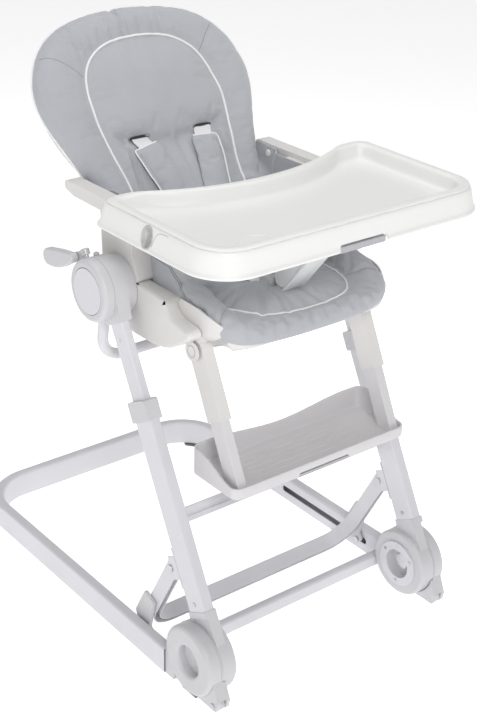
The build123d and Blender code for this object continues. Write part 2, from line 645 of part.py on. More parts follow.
for side, sign in SIDES:
    with BuildPart() as side_shell:
        with BuildSketch(yz(bucket_half, ring_inner, sign)):
            with BuildLine():
                FilletPolyline(
                    (disc_y + 54, bucket_top - 1), (disc_y + 48, pan_low + 34), (disc_y + 20, pan_low + 6),
                    (disc_y - 31, pan_low - 4), (disc_y - 55, pan_low - 20), (disc_y - 115, pan_low - 30),
                    (disc_y - 140, pan_low - 25), (disc_y - 120, pan_low + 8), (disc_y - 95, pan_low + 50),
                    (disc_y - 60, bucket_top - 1), radius=6, close=True)
            make_face()
        extrude(amount=ring_inner - bucket_half)
    save(side_shell, f"{side}_side_shell")

    with BuildPart() as armrest:
        with BuildSketch(yz(pad_half + 1, ring_inner, sign)):
            with BuildLine():
                FilletPolyline(
                    (disc_y - 60, bucket_top + 2), (disc_y - 38, bucket_top + 50),
                    (disc_y - 38, arm_top - 10),
                    (disc_y + 60, arm_top - 10), (disc_y + 58, arm_top - 38), (disc_y + 54, bucket_top + 2),
                    radius=6, close=True)
            make_face()
        extrude(amount=ring_inner - pad_half - 1)
        with BuildSketch(yz(bucket_half + 2, ring_inner, sign)):
            with Locations((disc_y - 2, bucket_top + 5)):
                Rectangle(96, 12)
        extrude(amount=ring_inner - bucket_half - 2)
        with BuildSketch(yz(arm_inner, arm_outer, sign)):
            with BuildLine():
                FilletPolyline(
                    (arm_front, arm_top), (arm_front, arm_top - arm_tall),
                    (arm_rear - 30, arm_top - arm_tall + 2),
                    (arm_rear, arm_top - 16), (arm_rear, arm_top), radius=7, close=True)
            make_face()
        extrude(amount=arm_outer - arm_inner)
    save(armrest, f"{side}_armrest")

with BuildPart() as seat_shell:
    with BuildSketch(Plane.YZ.offset(-bucket_half)):
        with BuildLine():
            FilletPolyline((seat_front, bucket_top - 22), (seat_front + 22, pan_low + 6), (pan_bend, pan_low),
                           (seat_rear - 20, pan_low), (seat_rear, pan_low + 20), (seat_rear, bucket_top),
                           (seat_front + 53, bucket_top), radius=8, close=True)
        make_face()
    extrude(amount=2 * bucket_half)
    with BuildSketch(Plane.YZ.offset(-bucket_half + bucket_wall)):
        Polygon((seat_front - 10, pan_low + 12), (pan_bend, pan_low + 8), (seat_rear + 10, pan_low + 8),
                (seat_rear + 10, bucket_top + 10), (seat_front - 10, bucket_top + 10), align=None)
    extrude(amount=2 * (bucket_half - bucket_wall), mode=Mode.SUBTRACT)
    add(extrude(seat_plan(bucket_half, seat_front + shell_setback, front_corner), amount=200,
                mode=Mode.PRIVATE), mode=Mode.INTERSECT)
    # lugs that carry the footrest
    for _, sign in SIDES:
        sleeve_face = hanger_x + sleeve_wide / 2
        with BuildSketch(yz(sleeve_face + gap, sleeve_face + lug_outer_thick, sign)):
            with BuildLine():
                Polyline((hanger_y - 30, pan_low + 12), (hanger_y - 14, hanger_z), (hanger_y + 14, hanger_z),
                         (hanger_y + 34, pan_low + 10), close=True)
            make_face()
            with Locations((hanger_y, hanger_z)):
                Circle(14)
        extrude(amount=lug_outer_thick - gap)
        sleeve_back = hanger_x - sleeve_wide / 2
        with BuildSketch(yz(sleeve_back - lug_inner_thick, sleeve_back - gap, sign)):
            with BuildLine():
                Polyline((hanger_y - 30, pan_low + 4), (hanger_y - 14, hanger_z), (hanger_y + 14, hanger_z),
                         (hanger_y + 34, pan_low + 4), close=True)
            make_face()
            with Locations((hanger_y, hanger_z)):
                Circle(14)
        extrude(amount=lug_inner_thick - gap)
        with BuildSketch(yz(hanger_x - 30, hanger_x + 30, sign)):
            with Locations((hanger_y, hanger_z)):
                Circle(hanger_pin)
        extrude(amount=60, mode=Mode.SUBTRACT)
save(seat_shell, "seat_shell")

with BuildPart() as seat_pad:
    with BuildSketch(Plane.YZ.offset(-pad_half + 0.5)):
        with BuildLine():
            FilletPolyline((seat_front - 5, pan_low + 28), (seat_front + 2, pan_low + 12.5),
                           (pan_bend, pan_low + 8.5), (seat_rear - 2, pan_low + 8.5),
                           (seat_rear - 2, pad_top),
                           (pan_bend, pad_top), (seat_front + 6, pad_top + 6), radius=3, close=True)
        make_face()
    extrude(amount=2 * pad_half - 1)
    for _, sign in SIDES:
        with BuildSketch(yz(bolster_inner, pad_half - 0.5, sign)):
            with BuildLine():
                Polyline((seat_front + 40, pad_top - 4), (pan_bend, pad_top + 32),
                         (seat_rear - 80, pad_top + 84), (seat_rear - 8, pad_top + 84),
                         (seat_rear - 8, pad_top - 4), close=True)
            make_face()
        extrude(amount=pad_half - 0.5 - bolster_inner)
    add(extrude(seat_plan(pad_half - 0.5, seat_front - 5, front_corner), amount=200, mode=Mode.PRIVATE),
        mode=Mode.INTERSECT)
save(seat_pad, "seat_pad")

with BuildPart() as recline_shaft:
    with BuildSketch(Plane.YZ.offset(-bucket_half)):
        with Locations((recline_y, recline_z)):
            Circle(recline_radius)
    extrude(amount=2 * bucket_half)
save(recline_shaft, "recline_shaft")

with BuildPart() as footrest_pins:
    for _, sign in SIDES:
        low = hanger_x - sleeve_wide / 2 - lug_inner_thick
        high = hanger_x + sleeve_wide / 2 + lug_outer_thick
        for start, end, radius in ((low, high, hanger_pin), (high, high + 3, 18)):
            with BuildSketch(yz(start, end, sign)):
                with Locations((hanger_y, hanger_z)):
                    Circle(radius)
            extrude(amount=end - start)
save(footrest_pins, "footrest_pins")

with BuildPart() as harness_buckle:
    with BuildSketch(Plane.XY.offset(pad_top + strap_thick)):
        with Locations((0, buckle_y)):
            RectangleRounded(46, 52, 8)
    extrude(amount=buckle_tall)
    with BuildSketch(Plane.XY.offset(pad_top + strap_thick + buckle_tall - 8)):
        with Locations((0, buckle_y)):
            Circle(button_radius + 0.2)
    extrude(amount=8, mode=Mode.SUBTRACT)
save(harness_buckle, "harness_buckle")

with BuildPart() as buckle_button:
    with BuildSketch(Plane.XY.offset(pad_top + strap_thick + buckle_tall - 5)):
        with Locations((0, buckle_y)):
            Circle(button_radius)
    extrude(amount=7)
save(buckle_button, "buckle_button")

with BuildPart() as lap_straps:
    with Locations((0, (buckle_y - 6 + seat_rear - 8) / 2, pad_top + strap_thick / 2)):
        Box(30, seat_rear - buckle_y - 2, strap_thick)
    for _, sign in SIDES:
        with Locations((sign * (24 + bolster_inner - 2) / 2, buckle_y + 8, pad_top + strap_thick / 2)):
            Box(bolster_inner - 2 - 24, 25, strap_thick)
save(lap_straps, "lap_straps")

# ---- Backrest ----
back_plane = Plane(origin=(0, *on_back(0)), x_dir=(1, 0, 0),
                   z_dir=(0, -cos(radians(back_lean)), sin(radians(back_lean))))


def back_outline(shrink=0.0):
    """Rounded outline of the backrest on its own face, drawn smaller by shrink."""
    low, waist = back_low_half - shrink, back_half - 36 - shrink
    wide, top = back_half - shrink, back_top - shrink
    with BuildSketch() as outline:
        with BuildLine():
            Line((-low, back_bottom), (low, back_bottom))
            Line((low, back_bottom), (low, -10))
            Spline((low, -10), (waist, 72), (wide, 196), (wide - 30, 288), (wide - 104, top - 18), (0, top),
                   (104 - wide, top - 18), (30 - wide, 288), (-wide, 196), (-waist, 72), (-low, -10),
                   tangents=((0, 1), (0, -1)))
            Line((-low, -10), (-low, back_bottom))
        make_face()
    return outline.sketch


with BuildPart() as back_pad:
    with BuildSketch(back_plane):
        add(back_outline())
    extrude(amount=-back_thick)
save(back_pad, "back_pad")

shell_back = back_thick + face_gap + back_shell_thick
with BuildPart() as back_shell:
    with BuildSketch(back_plane.offset(-back_thick - face_gap)):
        add(back_outline(14))
    extrude(amount=-back_shell_thick)
    with BuildSketch(Plane.YZ.offset(16 - back_low_half)):
        with BuildLine():
            Polyline((recline_y - 2, recline_z - 11), (recline_y + 10, recline_z + 6),
                     on_back(back_bottom - 2, back_thick - 4), on_back(back_bottom - 2, back_thick + 2),
                     on_back(back_bottom + 8, back_thick + face_gap), on_back(back_bottom + 8, shell_back),
                     on_back(back_bottom - 8, shell_back), close=True)
        make_face()
        with Locations((recline_y, recline_z)):
            Circle(recline_radius + 5)
    extrude(amount=2 * (back_low_half - 16))
    with BuildSketch(Plane.YZ.offset(-bucket_half)):
        with Locations((recline_y, recline_z)):
            Circle(recline_radius + running)
    extrude(amount=2 * bucket_half, mode=Mode.SUBTRACT)
save(back_shell, "back_shell")

with BuildPart() as shoulder_pads:
    with BuildSketch(back_plane):
        with Locations((64, 20), (-64, 20)):
            RectangleRounded(54, 130, 6)
    extrude(amount=9)
save(shoulder_pads, "shoulder_pads")

with BuildPart() as recline_handle:
    with BuildSketch(back_plane.offset(-shell_back - face_gap)):
        with Locations((0, 236)):
            RectangleRounded(96, 30, 8)
    extrude(amount=-14)
save(recline_handle, "recline_handle")

# ---- Footrest ----
hanger_turn = -hanger_lean
with BuildPart() as footrest_sleeves:
    for _, sign in SIDES:
        low, high = hanger_x - sleeve_wide / 2, hanger_x + sleeve_wide / 2
        with BuildSketch(yz(low, high, sign)):
            with Locations((hanger_y, hanger_z)):
                Circle(sleeve_deep / 2)
            with Locations(Location(on_hanger(sleeve_long / 2), hanger_turn)):
                Rectangle(sleeve_deep, sleeve_long)
        extrude(amount=sleeve_wide)
        half_bore = stay_wide / 2 + stay_slack
        with BuildSketch(yz(hanger_x - half_bore, hanger_x + half_bore, sign)):
            with Locations(Location(on_hanger(14 + (sleeve_long - 10) / 2), hanger_turn)):
                Rectangle(stay_deep + 2 * stay_slack, sleeve_long - 10)
        extrude(amount=2 * half_bore, mode=Mode.SUBTRACT)
        with BuildSketch(yz(low - 1, high + 1, sign)):
            with Locations((hanger_y, hanger_z)):
                Circle(hanger_pin + running)
        extrude(amount=sleeve_wide + 2, mode=Mode.SUBTRACT)
save(footrest_sleeves, "footrest_sleeves")

stay_end = (hanger_z - plate_floor) / cos(radians(hanger_lean)) + 30
with BuildPart() as footrest_stays:
    for _, sign in SIDES:
        with BuildSketch(yz(hanger_x - stay_wide / 2, hanger_x + stay_wide / 2, sign)):
            with Locations(Location(on_hanger((stay_start + stay_end) / 2), hanger_turn)):
                Rectangle(stay_deep, stay_end - stay_start)
        extrude(amount=stay_wide)
        bore = stay_wide - 2 * stay_wall
        with BuildSketch(yz(hanger_x - bore / 2, hanger_x + bore / 2, sign)):
            with Locations(Location(on_hanger((stay_start + stay_end) / 2), hanger_turn)):
                Rectangle(stay_deep - 2 * stay_wall, stay_end - stay_start + 2)
        extrude(amount=bore, mode=Mode.SUBTRACT)
    split(bisect_by=Plane.XY.offset(plate_floor), keep=Keep.TOP)
save(footrest_stays, "footrest_stays")

with BuildPart() as footrest_plate:
    with BuildSketch(Plane.XY.offset(plate_skirt)):
        with Locations((0, (plate_front + plate_rear) / 2)):
            RectangleRounded(2 * plate_half, plate_rear - plate_front, 14)
    extrude(amount=plate_rear_top - plate_skirt)
    with BuildSketch(Plane.YZ.offset(-plate_half - 1)):
        with BuildLine():
            Polyline((plate_front - 1, plate_front_top), (plate_front + 12, plate_front_top),
                     (plate_rear - 14, plate_rear_top), (plate_rear - 14, plate_rear_top + 9),
                     (plate_front - 1, plate_rear_top + 9), close=True)
        make_face()
    extrude(amount=2 * plate_half + 2, mode=Mode.SUBTRACT)
    with BuildSketch(Plane.XY.offset(plate_floor)):
        with Locations((0, (plate_front + plate_rear) / 2)):
            RectangleRounded(2 * plate_half - 10, plate_rear - plate_front - 10, 9)
    extrude(amount=60, mode=Mode.SUBTRACT)
    with BuildSketch(Plane.XY.offset(plate_skirt - 1)):
        with Locations((0, (plate_front + plate_rear) / 2)):
            RectangleRounded(2 * plate_half - 8, plate_rear - plate_front - 8, 9)
    extrude(amount=plate_floor - 4 - plate_skirt + 1, mode=Mode.SUBTRACT)
    with BuildSketch(Plane.XZ.offset(-plate_front - 20)):
        with Locations((0, plate_skirt)):
            Rectangle(2 * lever_half, 12)
    extrude(amount=40, mode=Mode.SUBTRACT)
    with BuildSketch(Plane.XZ.offset(-plate_rear - 20)):
        with Locations((0, plate_rear_top)):
            SlotOverall(300, 36)
    extrude(amount=40, mode=Mode.SUBTRACT)
    with BuildSketch(Plane.XY.offset(plate_floor - 1)):
        with Locations((0, plate_front + 52)):
            with GridLocations(0, 20, 1, 3):
                SlotOverall(280, 3)
    extrude(amount=2, mode=Mode.SUBTRACT)
save(footrest_plate, "footrest_plate")

with BuildPart() as footrest_lever:
    with BuildSketch(Plane.XY.offset(plate_skirt - 1)):
        with Locations((0, plate_front + 12)):
            RectangleRounded(2 * lever_half - 2, 24, 2)
    extrude(amount=6)
save(footrest_lever, "footrest_lever")

# ---- Tray ----
def tray_outline(shrink=0.0):
    """Plan of the tray: round front corners and a hollow rear edge, drawn smaller by shrink."""
    half = tray_half - shrink
    front = tray_front + shrink
    rear = tray_rear - shrink
    middle_rear = tray_rear_middle - shrink
    corner = 78 - shrink
    with BuildSketch() as outline:
        with BuildLine():
            Line((half, front + corner), (half, rear - 26))
            ThreePointArc((half, rear - 26), (half - 8, rear - 8), (half - 26, rear))
            Line((half - 26, rear), (half - 60, rear))
            ThreePointArc((half - 60, rear), (0, middle_rear), (60 - half, rear))
            Line((60 - half, rear), (26 - half, rear))
            ThreePointArc((26 - half, rear), (8 - half, rear - 8), (-half, rear - 26))
            Line((-half, rear - 26), (-half, front + corner))
            ThreePointArc((-half, front + corner), (corner * 0.293 - half, front + corner * 0.293),
                          (corner - half, front))
            Line((corner - half, front), (half - corner, front))
            ThreePointArc((half - corner, front), (half - corner * 0.293, front + corner * 0.293),
                          (half, front + corner))
        make_face()
    return outline.sketch


flare = degrees(atan(tray_inset / (tray_top - tray_low)))
with BuildPart() as tray_body:
    with BuildSketch(Plane.XY.offset(tray_low)):
        add(tray_outline())
    extrude(amount=tray_top - tray_low, taper=flare)
    with BuildSketch(Plane.XY.offset(tray_low - 1)):
        add(tray_outline(tray_wall + 3))
    extrude(amount=deck_low - tray_low + 1, mode=Mode.SUBTRACT)
    with BuildSketch(Plane.XY.offset(deck_high)):
        add(tray_outline(tray_inset + tray_wall))
    extrude(amount=tray_top - deck_high + 1, mode=Mode.SUBTRACT)
    for _, sign in SIDES:
        with Locations((sign * (arm_inner + arm_outer) / 2, tray_rear - 20, tray_low)):
            Box(arm_outer - arm_inner + 6, 80, 2 * (deck_low - tray_low), mode=Mode.SUBTRACT)
        # guide that hooks under the armrest
        face, back, toe = (sign * x for x in (arm_outer + 1.5, arm_outer + 5.5, arm_inner + 12))
        low, root = arm_top - arm_tall - 6, deck_low + 1
        with BuildSketch(Plane.XZ.offset(30 - tray_rear)):
            with BuildLine():
                Polyline((face, root), (face, low + 4), (toe, low + 4), (toe, low), (back, low), (back, root),
                         close=True)
            make_face()
        extrude(amount=68)
    # cut-out for the release lever
    with Locations((0, tray_front, tray_low)):
        Box(104, 40, 22, mode=Mode.SUBTRACT)
save(tray_body, "tray_body")

with BuildPart() as tray_insert:
    with BuildSketch(Plane.XY.offset(deck_high)):
        add(tray_outline(tray_inset + tray_wall + gap))
    extrude(amount=tray_top - deck_high)
    with BuildSketch(Plane.XY.offset(tray_top)):
        add(tray_outline(tray_inset + 1))
    extrude(amount=2)
    with BuildSketch(Plane.XY.offset(deck_high + 3)):
        add(tray_outline(tray_inset + rim_wide))
    extrude(amount=30, mode=Mode.SUBTRACT)
save(tray_insert, "tray_insert")

with BuildPart() as tray_lever:
    with BuildSketch(Plane.XY.offset(tray_low - 2)):
        with Locations((0, tray_front + 11)):
            RectangleRounded(100, 16, 3)
    extrude(amount=11)
save(tray_lever, "tray_lever")

with BuildPart() as crotch_post:
    with BuildSketch(Plane.XY.offset(deck_low)):
        with Locations((0, buckle_y - 68)):
            RectangleRounded(52, 34, 12)
    with BuildSketch(Plane.XY.offset(pad_top + 28)):
        with Locations((0, buckle_y - 52)):
            RectangleRounded(34, 24, 9)
    loft()
save(crotch_post, "crotch_post")
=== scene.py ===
import math
import bmesh
import bpy
import json
import numpy as np
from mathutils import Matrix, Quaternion, Vector
from mathutils.bvhtree import BVHTree

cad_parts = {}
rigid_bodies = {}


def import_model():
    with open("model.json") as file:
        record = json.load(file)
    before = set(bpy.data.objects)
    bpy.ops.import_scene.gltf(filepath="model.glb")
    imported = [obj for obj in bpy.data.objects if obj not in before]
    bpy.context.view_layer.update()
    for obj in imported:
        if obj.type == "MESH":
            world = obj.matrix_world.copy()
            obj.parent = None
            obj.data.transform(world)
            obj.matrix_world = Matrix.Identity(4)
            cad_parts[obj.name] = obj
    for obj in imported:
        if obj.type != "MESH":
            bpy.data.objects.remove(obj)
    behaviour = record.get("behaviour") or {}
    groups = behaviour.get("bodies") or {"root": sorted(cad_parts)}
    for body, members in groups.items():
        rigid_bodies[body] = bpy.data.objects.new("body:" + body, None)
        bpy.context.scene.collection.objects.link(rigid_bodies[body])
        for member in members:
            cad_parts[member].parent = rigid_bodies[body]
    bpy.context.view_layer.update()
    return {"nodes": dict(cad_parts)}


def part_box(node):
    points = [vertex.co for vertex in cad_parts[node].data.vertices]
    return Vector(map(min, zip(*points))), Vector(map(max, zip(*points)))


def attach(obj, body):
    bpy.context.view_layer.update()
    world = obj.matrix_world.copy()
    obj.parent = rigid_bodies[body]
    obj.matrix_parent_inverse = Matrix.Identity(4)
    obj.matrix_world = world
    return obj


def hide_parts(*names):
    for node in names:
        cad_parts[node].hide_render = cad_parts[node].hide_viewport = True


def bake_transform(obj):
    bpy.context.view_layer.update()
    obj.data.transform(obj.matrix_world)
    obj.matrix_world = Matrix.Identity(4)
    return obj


# A folding baby high chair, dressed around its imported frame. Metres, +Z up, the chair faces -Y.

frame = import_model()
scene = bpy.context.scene
print("frame loaded:", len(frame["nodes"]), "nodes")


def middleOf(node):
    low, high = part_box(node)
    return (low + high) / 2


def addMesh(name, points, faces, smooth=True):
    mesh = bpy.data.meshes.new(name)
    mesh.from_pydata([tuple(p) for p in points], [], faces)
    mesh.update()
    if smooth:
        mesh.shade_smooth()
    made = bpy.data.objects.new(name, mesh)
    scene.collection.objects.link(made)
    return made


def flatten(made):
    # the evaluated mesh takes the place of the object's data, and its modifiers go
    depsgraph = bpy.context.evaluated_depsgraph_get()
    mesh = bpy.data.meshes.new_from_object(made.evaluated_get(depsgraph))
    if made.type == "MESH":
        made.modifiers.clear()
        made.data = mesh
        mesh.name = made.name
        return made
    name = made.name
    bpy.data.objects.remove(made)
    mesh.name = name
    plain = bpy.data.objects.new(name, mesh)
    scene.collection.objects.link(plain)
    return plain


def modified(made, name, kind, **settings):
    modifier = made.modifiers.new(name, kind)
    for key, value in settings.items():
        setattr(modifier, key, value)
    return made


def joinedRings(rings, count, closed=True):
    # the faces between neighbouring rings of count points each
    return [(k * count + i, k * count + (i + 1) % count, (k + 1) * count + (i + 1) % count, (k + 1) * count + i)
        for k in range(rings - 1) for i in range(count if closed else count - 1)]


def outward(made, gap=1e-5, filled=False):
    # near points are merged, holes filled if asked, and every face is turned outwards
    shape = bmesh.new()
    shape.from_mesh(made.data)
    bmesh.ops.remove_doubles(shape, verts=shape.verts, dist=gap)
    if filled:
        bmesh.ops.holes_fill(shape, edges=[e for e in shape.edges if e.is_boundary], sides=0)
    bmesh.ops.recalc_face_normals(shape, faces=shape.faces)
    shape.to_mesh(made.data)
    shape.free()
    made.data.shade_smooth()
    return made


def smoothLoop(corners, count, closed=True):
    # Catmull-Rom curve through the corners, evenly spaced
    pts = [np.array(c, float) for c in corners]
    total = len(pts)
    spans = total if closed else total - 1
    line = []
    for k in range(spans):
        if closed:
            a, b, c, d = (pts[(k + j - 1) % total] for j in range(4))
        else:
            a, b, c, d = (pts[min(max(k + j - 1, 0), total - 1)] for j in range(4))
        for t in np.linspace(0, 1, 24, endpoint=False):
            line.append(0.5 * (2 * b + (c - a) * t + (2 * a - 5 * b + 4 * c - d) * t * t + (3 * b - a - 3 * c + d) * t
                ** 3))
    if closed:
        line.append(line[0])
    else:
        line.append(pts[-1])
    return evenly(line, count, closed)


def evenly(line, count, closed=False):
    # the same line with evenly spaced points
    line = np.array(line, float)
    run = np.concatenate([[0], np.cumsum(np.linalg.norm(np.diff(line, axis=0), axis=1))])
    want = np.linspace(0, run[-1], count, endpoint=not closed)
    return np.stack([np.interp(want, run, line[:, i]) for i in range(line.shape[1])], axis=1)


def smoothStep(t):
    t = np.clip(t, 0, 1)
    return t * t * (3 - 2 * t)


def roundTurn(count):
    return np.linspace(0, 2 * math.pi, count, endpoint=False)


# the chair's left is at +X
sides = ((-1, "Right"), (1, "Left"))


class Nodes:
    # a short way to write a node tree
    def __init__(self, tree):
        self.nodes, self.links = tree.nodes, tree.links

    def join(self, value, socket):
        if isinstance(value, bpy.types.NodeSocket):
            self.links.new(value, socket)
        else:
            socket.default_value = value

    def add(self, kind, sockets=None, **settings):
        made = self.nodes.new(kind)
        for key, value in settings.items():
            setattr(made, key, value)
        for key, value in (sockets or {}).items():
            self.join(value, made.inputs[key])
        return made

    def ranged(self, value, low, high, fromLow=0.0, fromHigh=1.0):
        sockets = {"Value": value, "From Min": fromLow, "From Max": fromHigh, "To Min": low, "To Max": high}
        return self.add("ShaderNodeMapRange", sockets).outputs["Result"]


class Finish(Nodes):
    # a material's nodes, laid out in the piece's own space
    def __init__(self, name):
        self.material = bpy.data.materials.new(name)
        self.material.use_nodes = True
        super().__init__(self.material.node_tree)
        self.nodes.clear()
        self.place = self.add("ShaderNodeTexCoord").outputs["Object"]

    def noise(self, scale, detail, place=None, **more):
        sockets = {"Vector": self.place if place is None else place, "Scale": scale, "Detail": detail, **more}
        return self.add("ShaderNodeTexNoise", sockets).outputs["Fac"]

    def bump(self, height, strength, distance, **more):
        sockets = {"Height": height, "Strength": strength, "Distance": distance, **more}
        return self.add("ShaderNodeBump", sockets).outputs[0]

    def mapped(self, **sockets):
        return self.add("ShaderNodeMapping", {"Vector": self.place, **sockets}).outputs[0]

    def mixed(self, share, first, second):
        made = self.add("ShaderNodeMix", data_type="RGBA")
        for number, value in ((0, share), (6, first), (7, second)):
            self.join(value, made.inputs[number])
        return made.outputs[2]

    def clouded(self, colour, scale, detail, share):
        # the colour with slow clouds of a darker one
        clouds = self.ranged(self.noise(scale, detail), 0.0, 1.0, 0.3, 0.7)
        return self.mixed(clouds, shaded(colour, share), colour)

    def shade(self, colour, roughness, sockets):
        shader = self.add("ShaderNodeBsdfPrincipled", {"Base Color": colour, "Roughness": roughness, **sockets})
        self.add("ShaderNodeOutputMaterial", {"Surface": shader.outputs[0]})
        return self.material


def tone(red, green, blue):
    # an everyday 0-255 colour as the linear one that a shader takes
    linear = [(c / 255 / 12.92) if c <= 10 else ((c / 255 + 0.055) / 1.055) ** 2.4 for c in (red, green, blue)]
    return (*linear, 1.0)


def shaded(colour, share):
    return (*(c * share for c in colour[:3]), 1.0)


def mouldedPlastic(name, colour, roughness=0.4, grain=0.00006, cloudy=0.03, coat=0.0):
    # fine moulded grain, slow cloudiness in the colour, and a gloss that wanders a little
    made = Finish(name)
    bump = made.bump(made.noise(1400.0, 2.0), 0.35, grain)
    gloss = made.ranged(made.noise(55.0, 5.0, Roughness=0.7), roughness - 0.05, roughness + 0.06, 0.35, 0.65)
    return made.shade(made.clouded(colour, 7.0, 3.0, 1 - cloudy), gloss,
        {"Normal": bump, "IOR": 1.49, "Coat Weight": coat, "Coat Roughness": 0.08})


def powderPaint(name, colour):
    # sprayed and baked coat on steel: a soft orange peel under a satin gloss
    made = Finish(name)
    specks = made.add("ShaderNodeTexVoronoi", {"Vector": made.place, "Scale": 160.0}).outputs["Distance"]
    return made.shade(made.clouded(colour, 9.0, 2.0, 0.97), made.ranged(specks, 0.30, 0.38, 0.0, 0.8),
        {"Normal": made.bump(made.noise(420.0, 1.5), 0.3, 0.00012), "Coat Weight": 0.25, "Coat Roughness": 0.12})


def wovenCloth(name, colour, thread=0.0009, turn=(0.0, 0.0, 0.0), sheen=0.35, ribs=False):
    # plain weave from two crossed waves, with a heathered thread colour
    made = Finish(name)
    turned = made.mapped(Rotation=turn)
    pitch = 1.0 / (thread * math.pi * 2) * 0.314
    waves = []
    for axis, scale in (("X", pitch), ("Z", pitch * (0.25 if ribs else 1.0))):
        waves.append(made.add("ShaderNodeTexWave",
            {"Vector": turned, "Scale": scale, "Distortion": 0.6, "Detail Scale": 3.0},
            bands_direction=axis).outputs["Fac"])
    weave = made.add("ShaderNodeMath", dict(enumerate(waves)), operation="MULTIPLY" if ribs else "MAXIMUM")
    heather = made.noise(900.0, 3.0, turned)
    height = made.add("ShaderNodeMath", {0: weave.outputs[0], 1: heather}, operation="ADD").outputs[0]
    threads = made.bump(height, 0.35, 0.0002)
    folds = made.bump(made.noise(38.0, 4.0, Distortion=0.6), 0.25, 0.002, Normal=threads)
    dyed = made.mixed(made.ranged(heather, 0.0, 0.35, 0.35, 0.75), made.clouded(colour, 11.0, 3.0, 0.95),
        shaded(colour, 1.18))
    return made.shade(dyed, 0.85, {"Normal": folds, "Sheen Weight": sheen, "Sheen Roughness": 0.4,
        "Specular IOR Level": 0.25})


def brushedSteel(name):
    made = Finish(name)
    lines = made.noise(220.0, 3.0, made.mapped(Scale=(1.0, 12.0, 12.0)))
    return made.shade(tone(196, 197, 199), made.ranged(lines, 0.22, 0.36),
        {"Metallic": 1.0, "Normal": made.bump(lines, 0.2, 0.00005)})


def softRubber(name, colour):
    made = Finish(name)
    worn = made.mixed(made.ranged(made.noise(30.0, 4.0), 0.0, 0.3, 0.4, 0.8), colour, shaded(colour, 1.3))
    return made.shade(worn, 0.75, {"Normal": made.bump(made.noise(800.0, 4.0), 0.5, 0.0001)})


padLean = math.radians(36.2)      # the backrest's slope from upright
finishes = {
    "frameTube": powderPaint("frameTube", tone(215, 214, 219)),
    "hubPlastic": mouldedPlastic("hubPlastic", tone(204, 203, 206), 0.38),
    "discInset": mouldedPlastic("discInset", tone(216, 215, 221), 0.45, grain=0.0001),
    "trayGloss": mouldedPlastic("trayGloss", tone(237, 237, 235), 0.34, grain=0.00003, cloudy=0.01),
    "trayUnder": mouldedPlastic("trayUnder", tone(226, 227, 228), 0.45),
    "warmShell": mouldedPlastic("warmShell", tone(221, 219, 217), 0.36),
    "stepGrey": mouldedPlastic("stepGrey", tone(216, 214, 216), 0.42, grain=0.00012),
    "leverGrey": mouldedPlastic("leverGrey", tone(178, 178, 182), 0.4),
    "knobSilver": mouldedPlastic("knobSilver", tone(188, 187, 188), 0.25, coat=0.5),
    "steel": brushedSteel("steel"),
    "rubber": softRubber("rubber", tone(120, 120, 124)),
    "tyre": softRubber("tyre", tone(205, 204, 206)),
    "padCloth": wovenCloth("padCloth", tone(178, 180, 185), turn=(padLean, 0, 0)),
    "seatCloth": wovenCloth("seatCloth", tone(176, 178, 183), turn=(math.radians(90), 0, 0)),
    "pipingWhite": wovenCloth("pipingWhite", tone(240, 240, 241), thread=0.0006, sheen=0.2),
    "webbingWhite": wovenCloth("webbingWhite", tone(228, 228, 231), thread=0.0008, ribs=True, sheen=0.2),
    # painted shade: a near-black matte finish for the strips and cups set into gaps and slots, where there is only
    # shade
    "paintedSlotShade": mouldedPlastic("paintedSlotShade", tone(58, 60, 64), 0.9),
    "bindingGrey": wovenCloth("bindingGrey", tone(132, 135, 140), thread=0.0006),
}


def paint(piece, finish):
    piece.data.materials.clear()
    piece.data.materials.append(finishes[finish])


edgeRounds = {"round": 0.0045, "coarse": 0.0022, "fine": 0.0009, "tiny": 0.0005}
carried = {
    "frameTube": ("base_rail", "front_crossbar", "left_leg_tube", "right_leg_tube", "leg_crossbar", "brace_frame",
                  "brace_brackets", "left_upper_tube", "right_upper_tube", "rear_cross_tube"),
    "hubPlastic": ("left_hub_cover", "right_hub_cover", "left_nose", "right_nose", "left_hub_socket",
                   "right_hub_socket", "leg_collars", "brace_corners", "left_hinge_housing", "right_hinge_housing",
                   "hinge_rings", "left_release_paddle", "right_release_paddle", "leg_glides", "harness_buckle"),
    "discInset": ("hinge_caps", "hub_rings"),
    "warmShell": ("left_side_shell", "right_side_shell", "left_armrest", "right_armrest", "seat_shell", "back_shell",
                  "footrest_sleeves", "footrest_pins", "crotch_post"),
    "stepGrey": ("footrest_plate", "footrest_stays"),
    "leverGrey": ("footrest_lever", "tray_lever", "recline_handle", "buckle_button"),
    "knobSilver": ("left_push_knob", "right_push_knob"),
    "steel": ("roller_pins", "hub_axles", "hub_screws", "leg_bolts", "slider_pins", "hinge_pins", "recline_shaft"),
    "rubber": ("base_feet",),
    "tyre": ("left_roller", "right_roller"),
    "trayGloss": ("tray_body", "tray_insert"),
    "padCloth": ("back_pad", "shoulder_pads"),
    "seatCloth": ("seat_pad",),
    "webbingWhite": ("lap_straps",),
}


def softenEdges(node, width):
    # a moulded or folded edge is never quite sharp
    made = frame["nodes"][node]
    modified(made, "weld", "WELD", merge_threshold=0.00002)
    modified(made, "merge", "DECIMATE", decimate_type="DISSOLVE", angle_limit=math.radians(0.5))
    modified(made, "round", "BEVEL", width=width, segments=2, limit_method="ANGLE", angle_limit=math.radians(38),
        use_clamp_overlap=True)
    modified(made, "even", "WEIGHTED_NORMAL", keep_sharp=True)


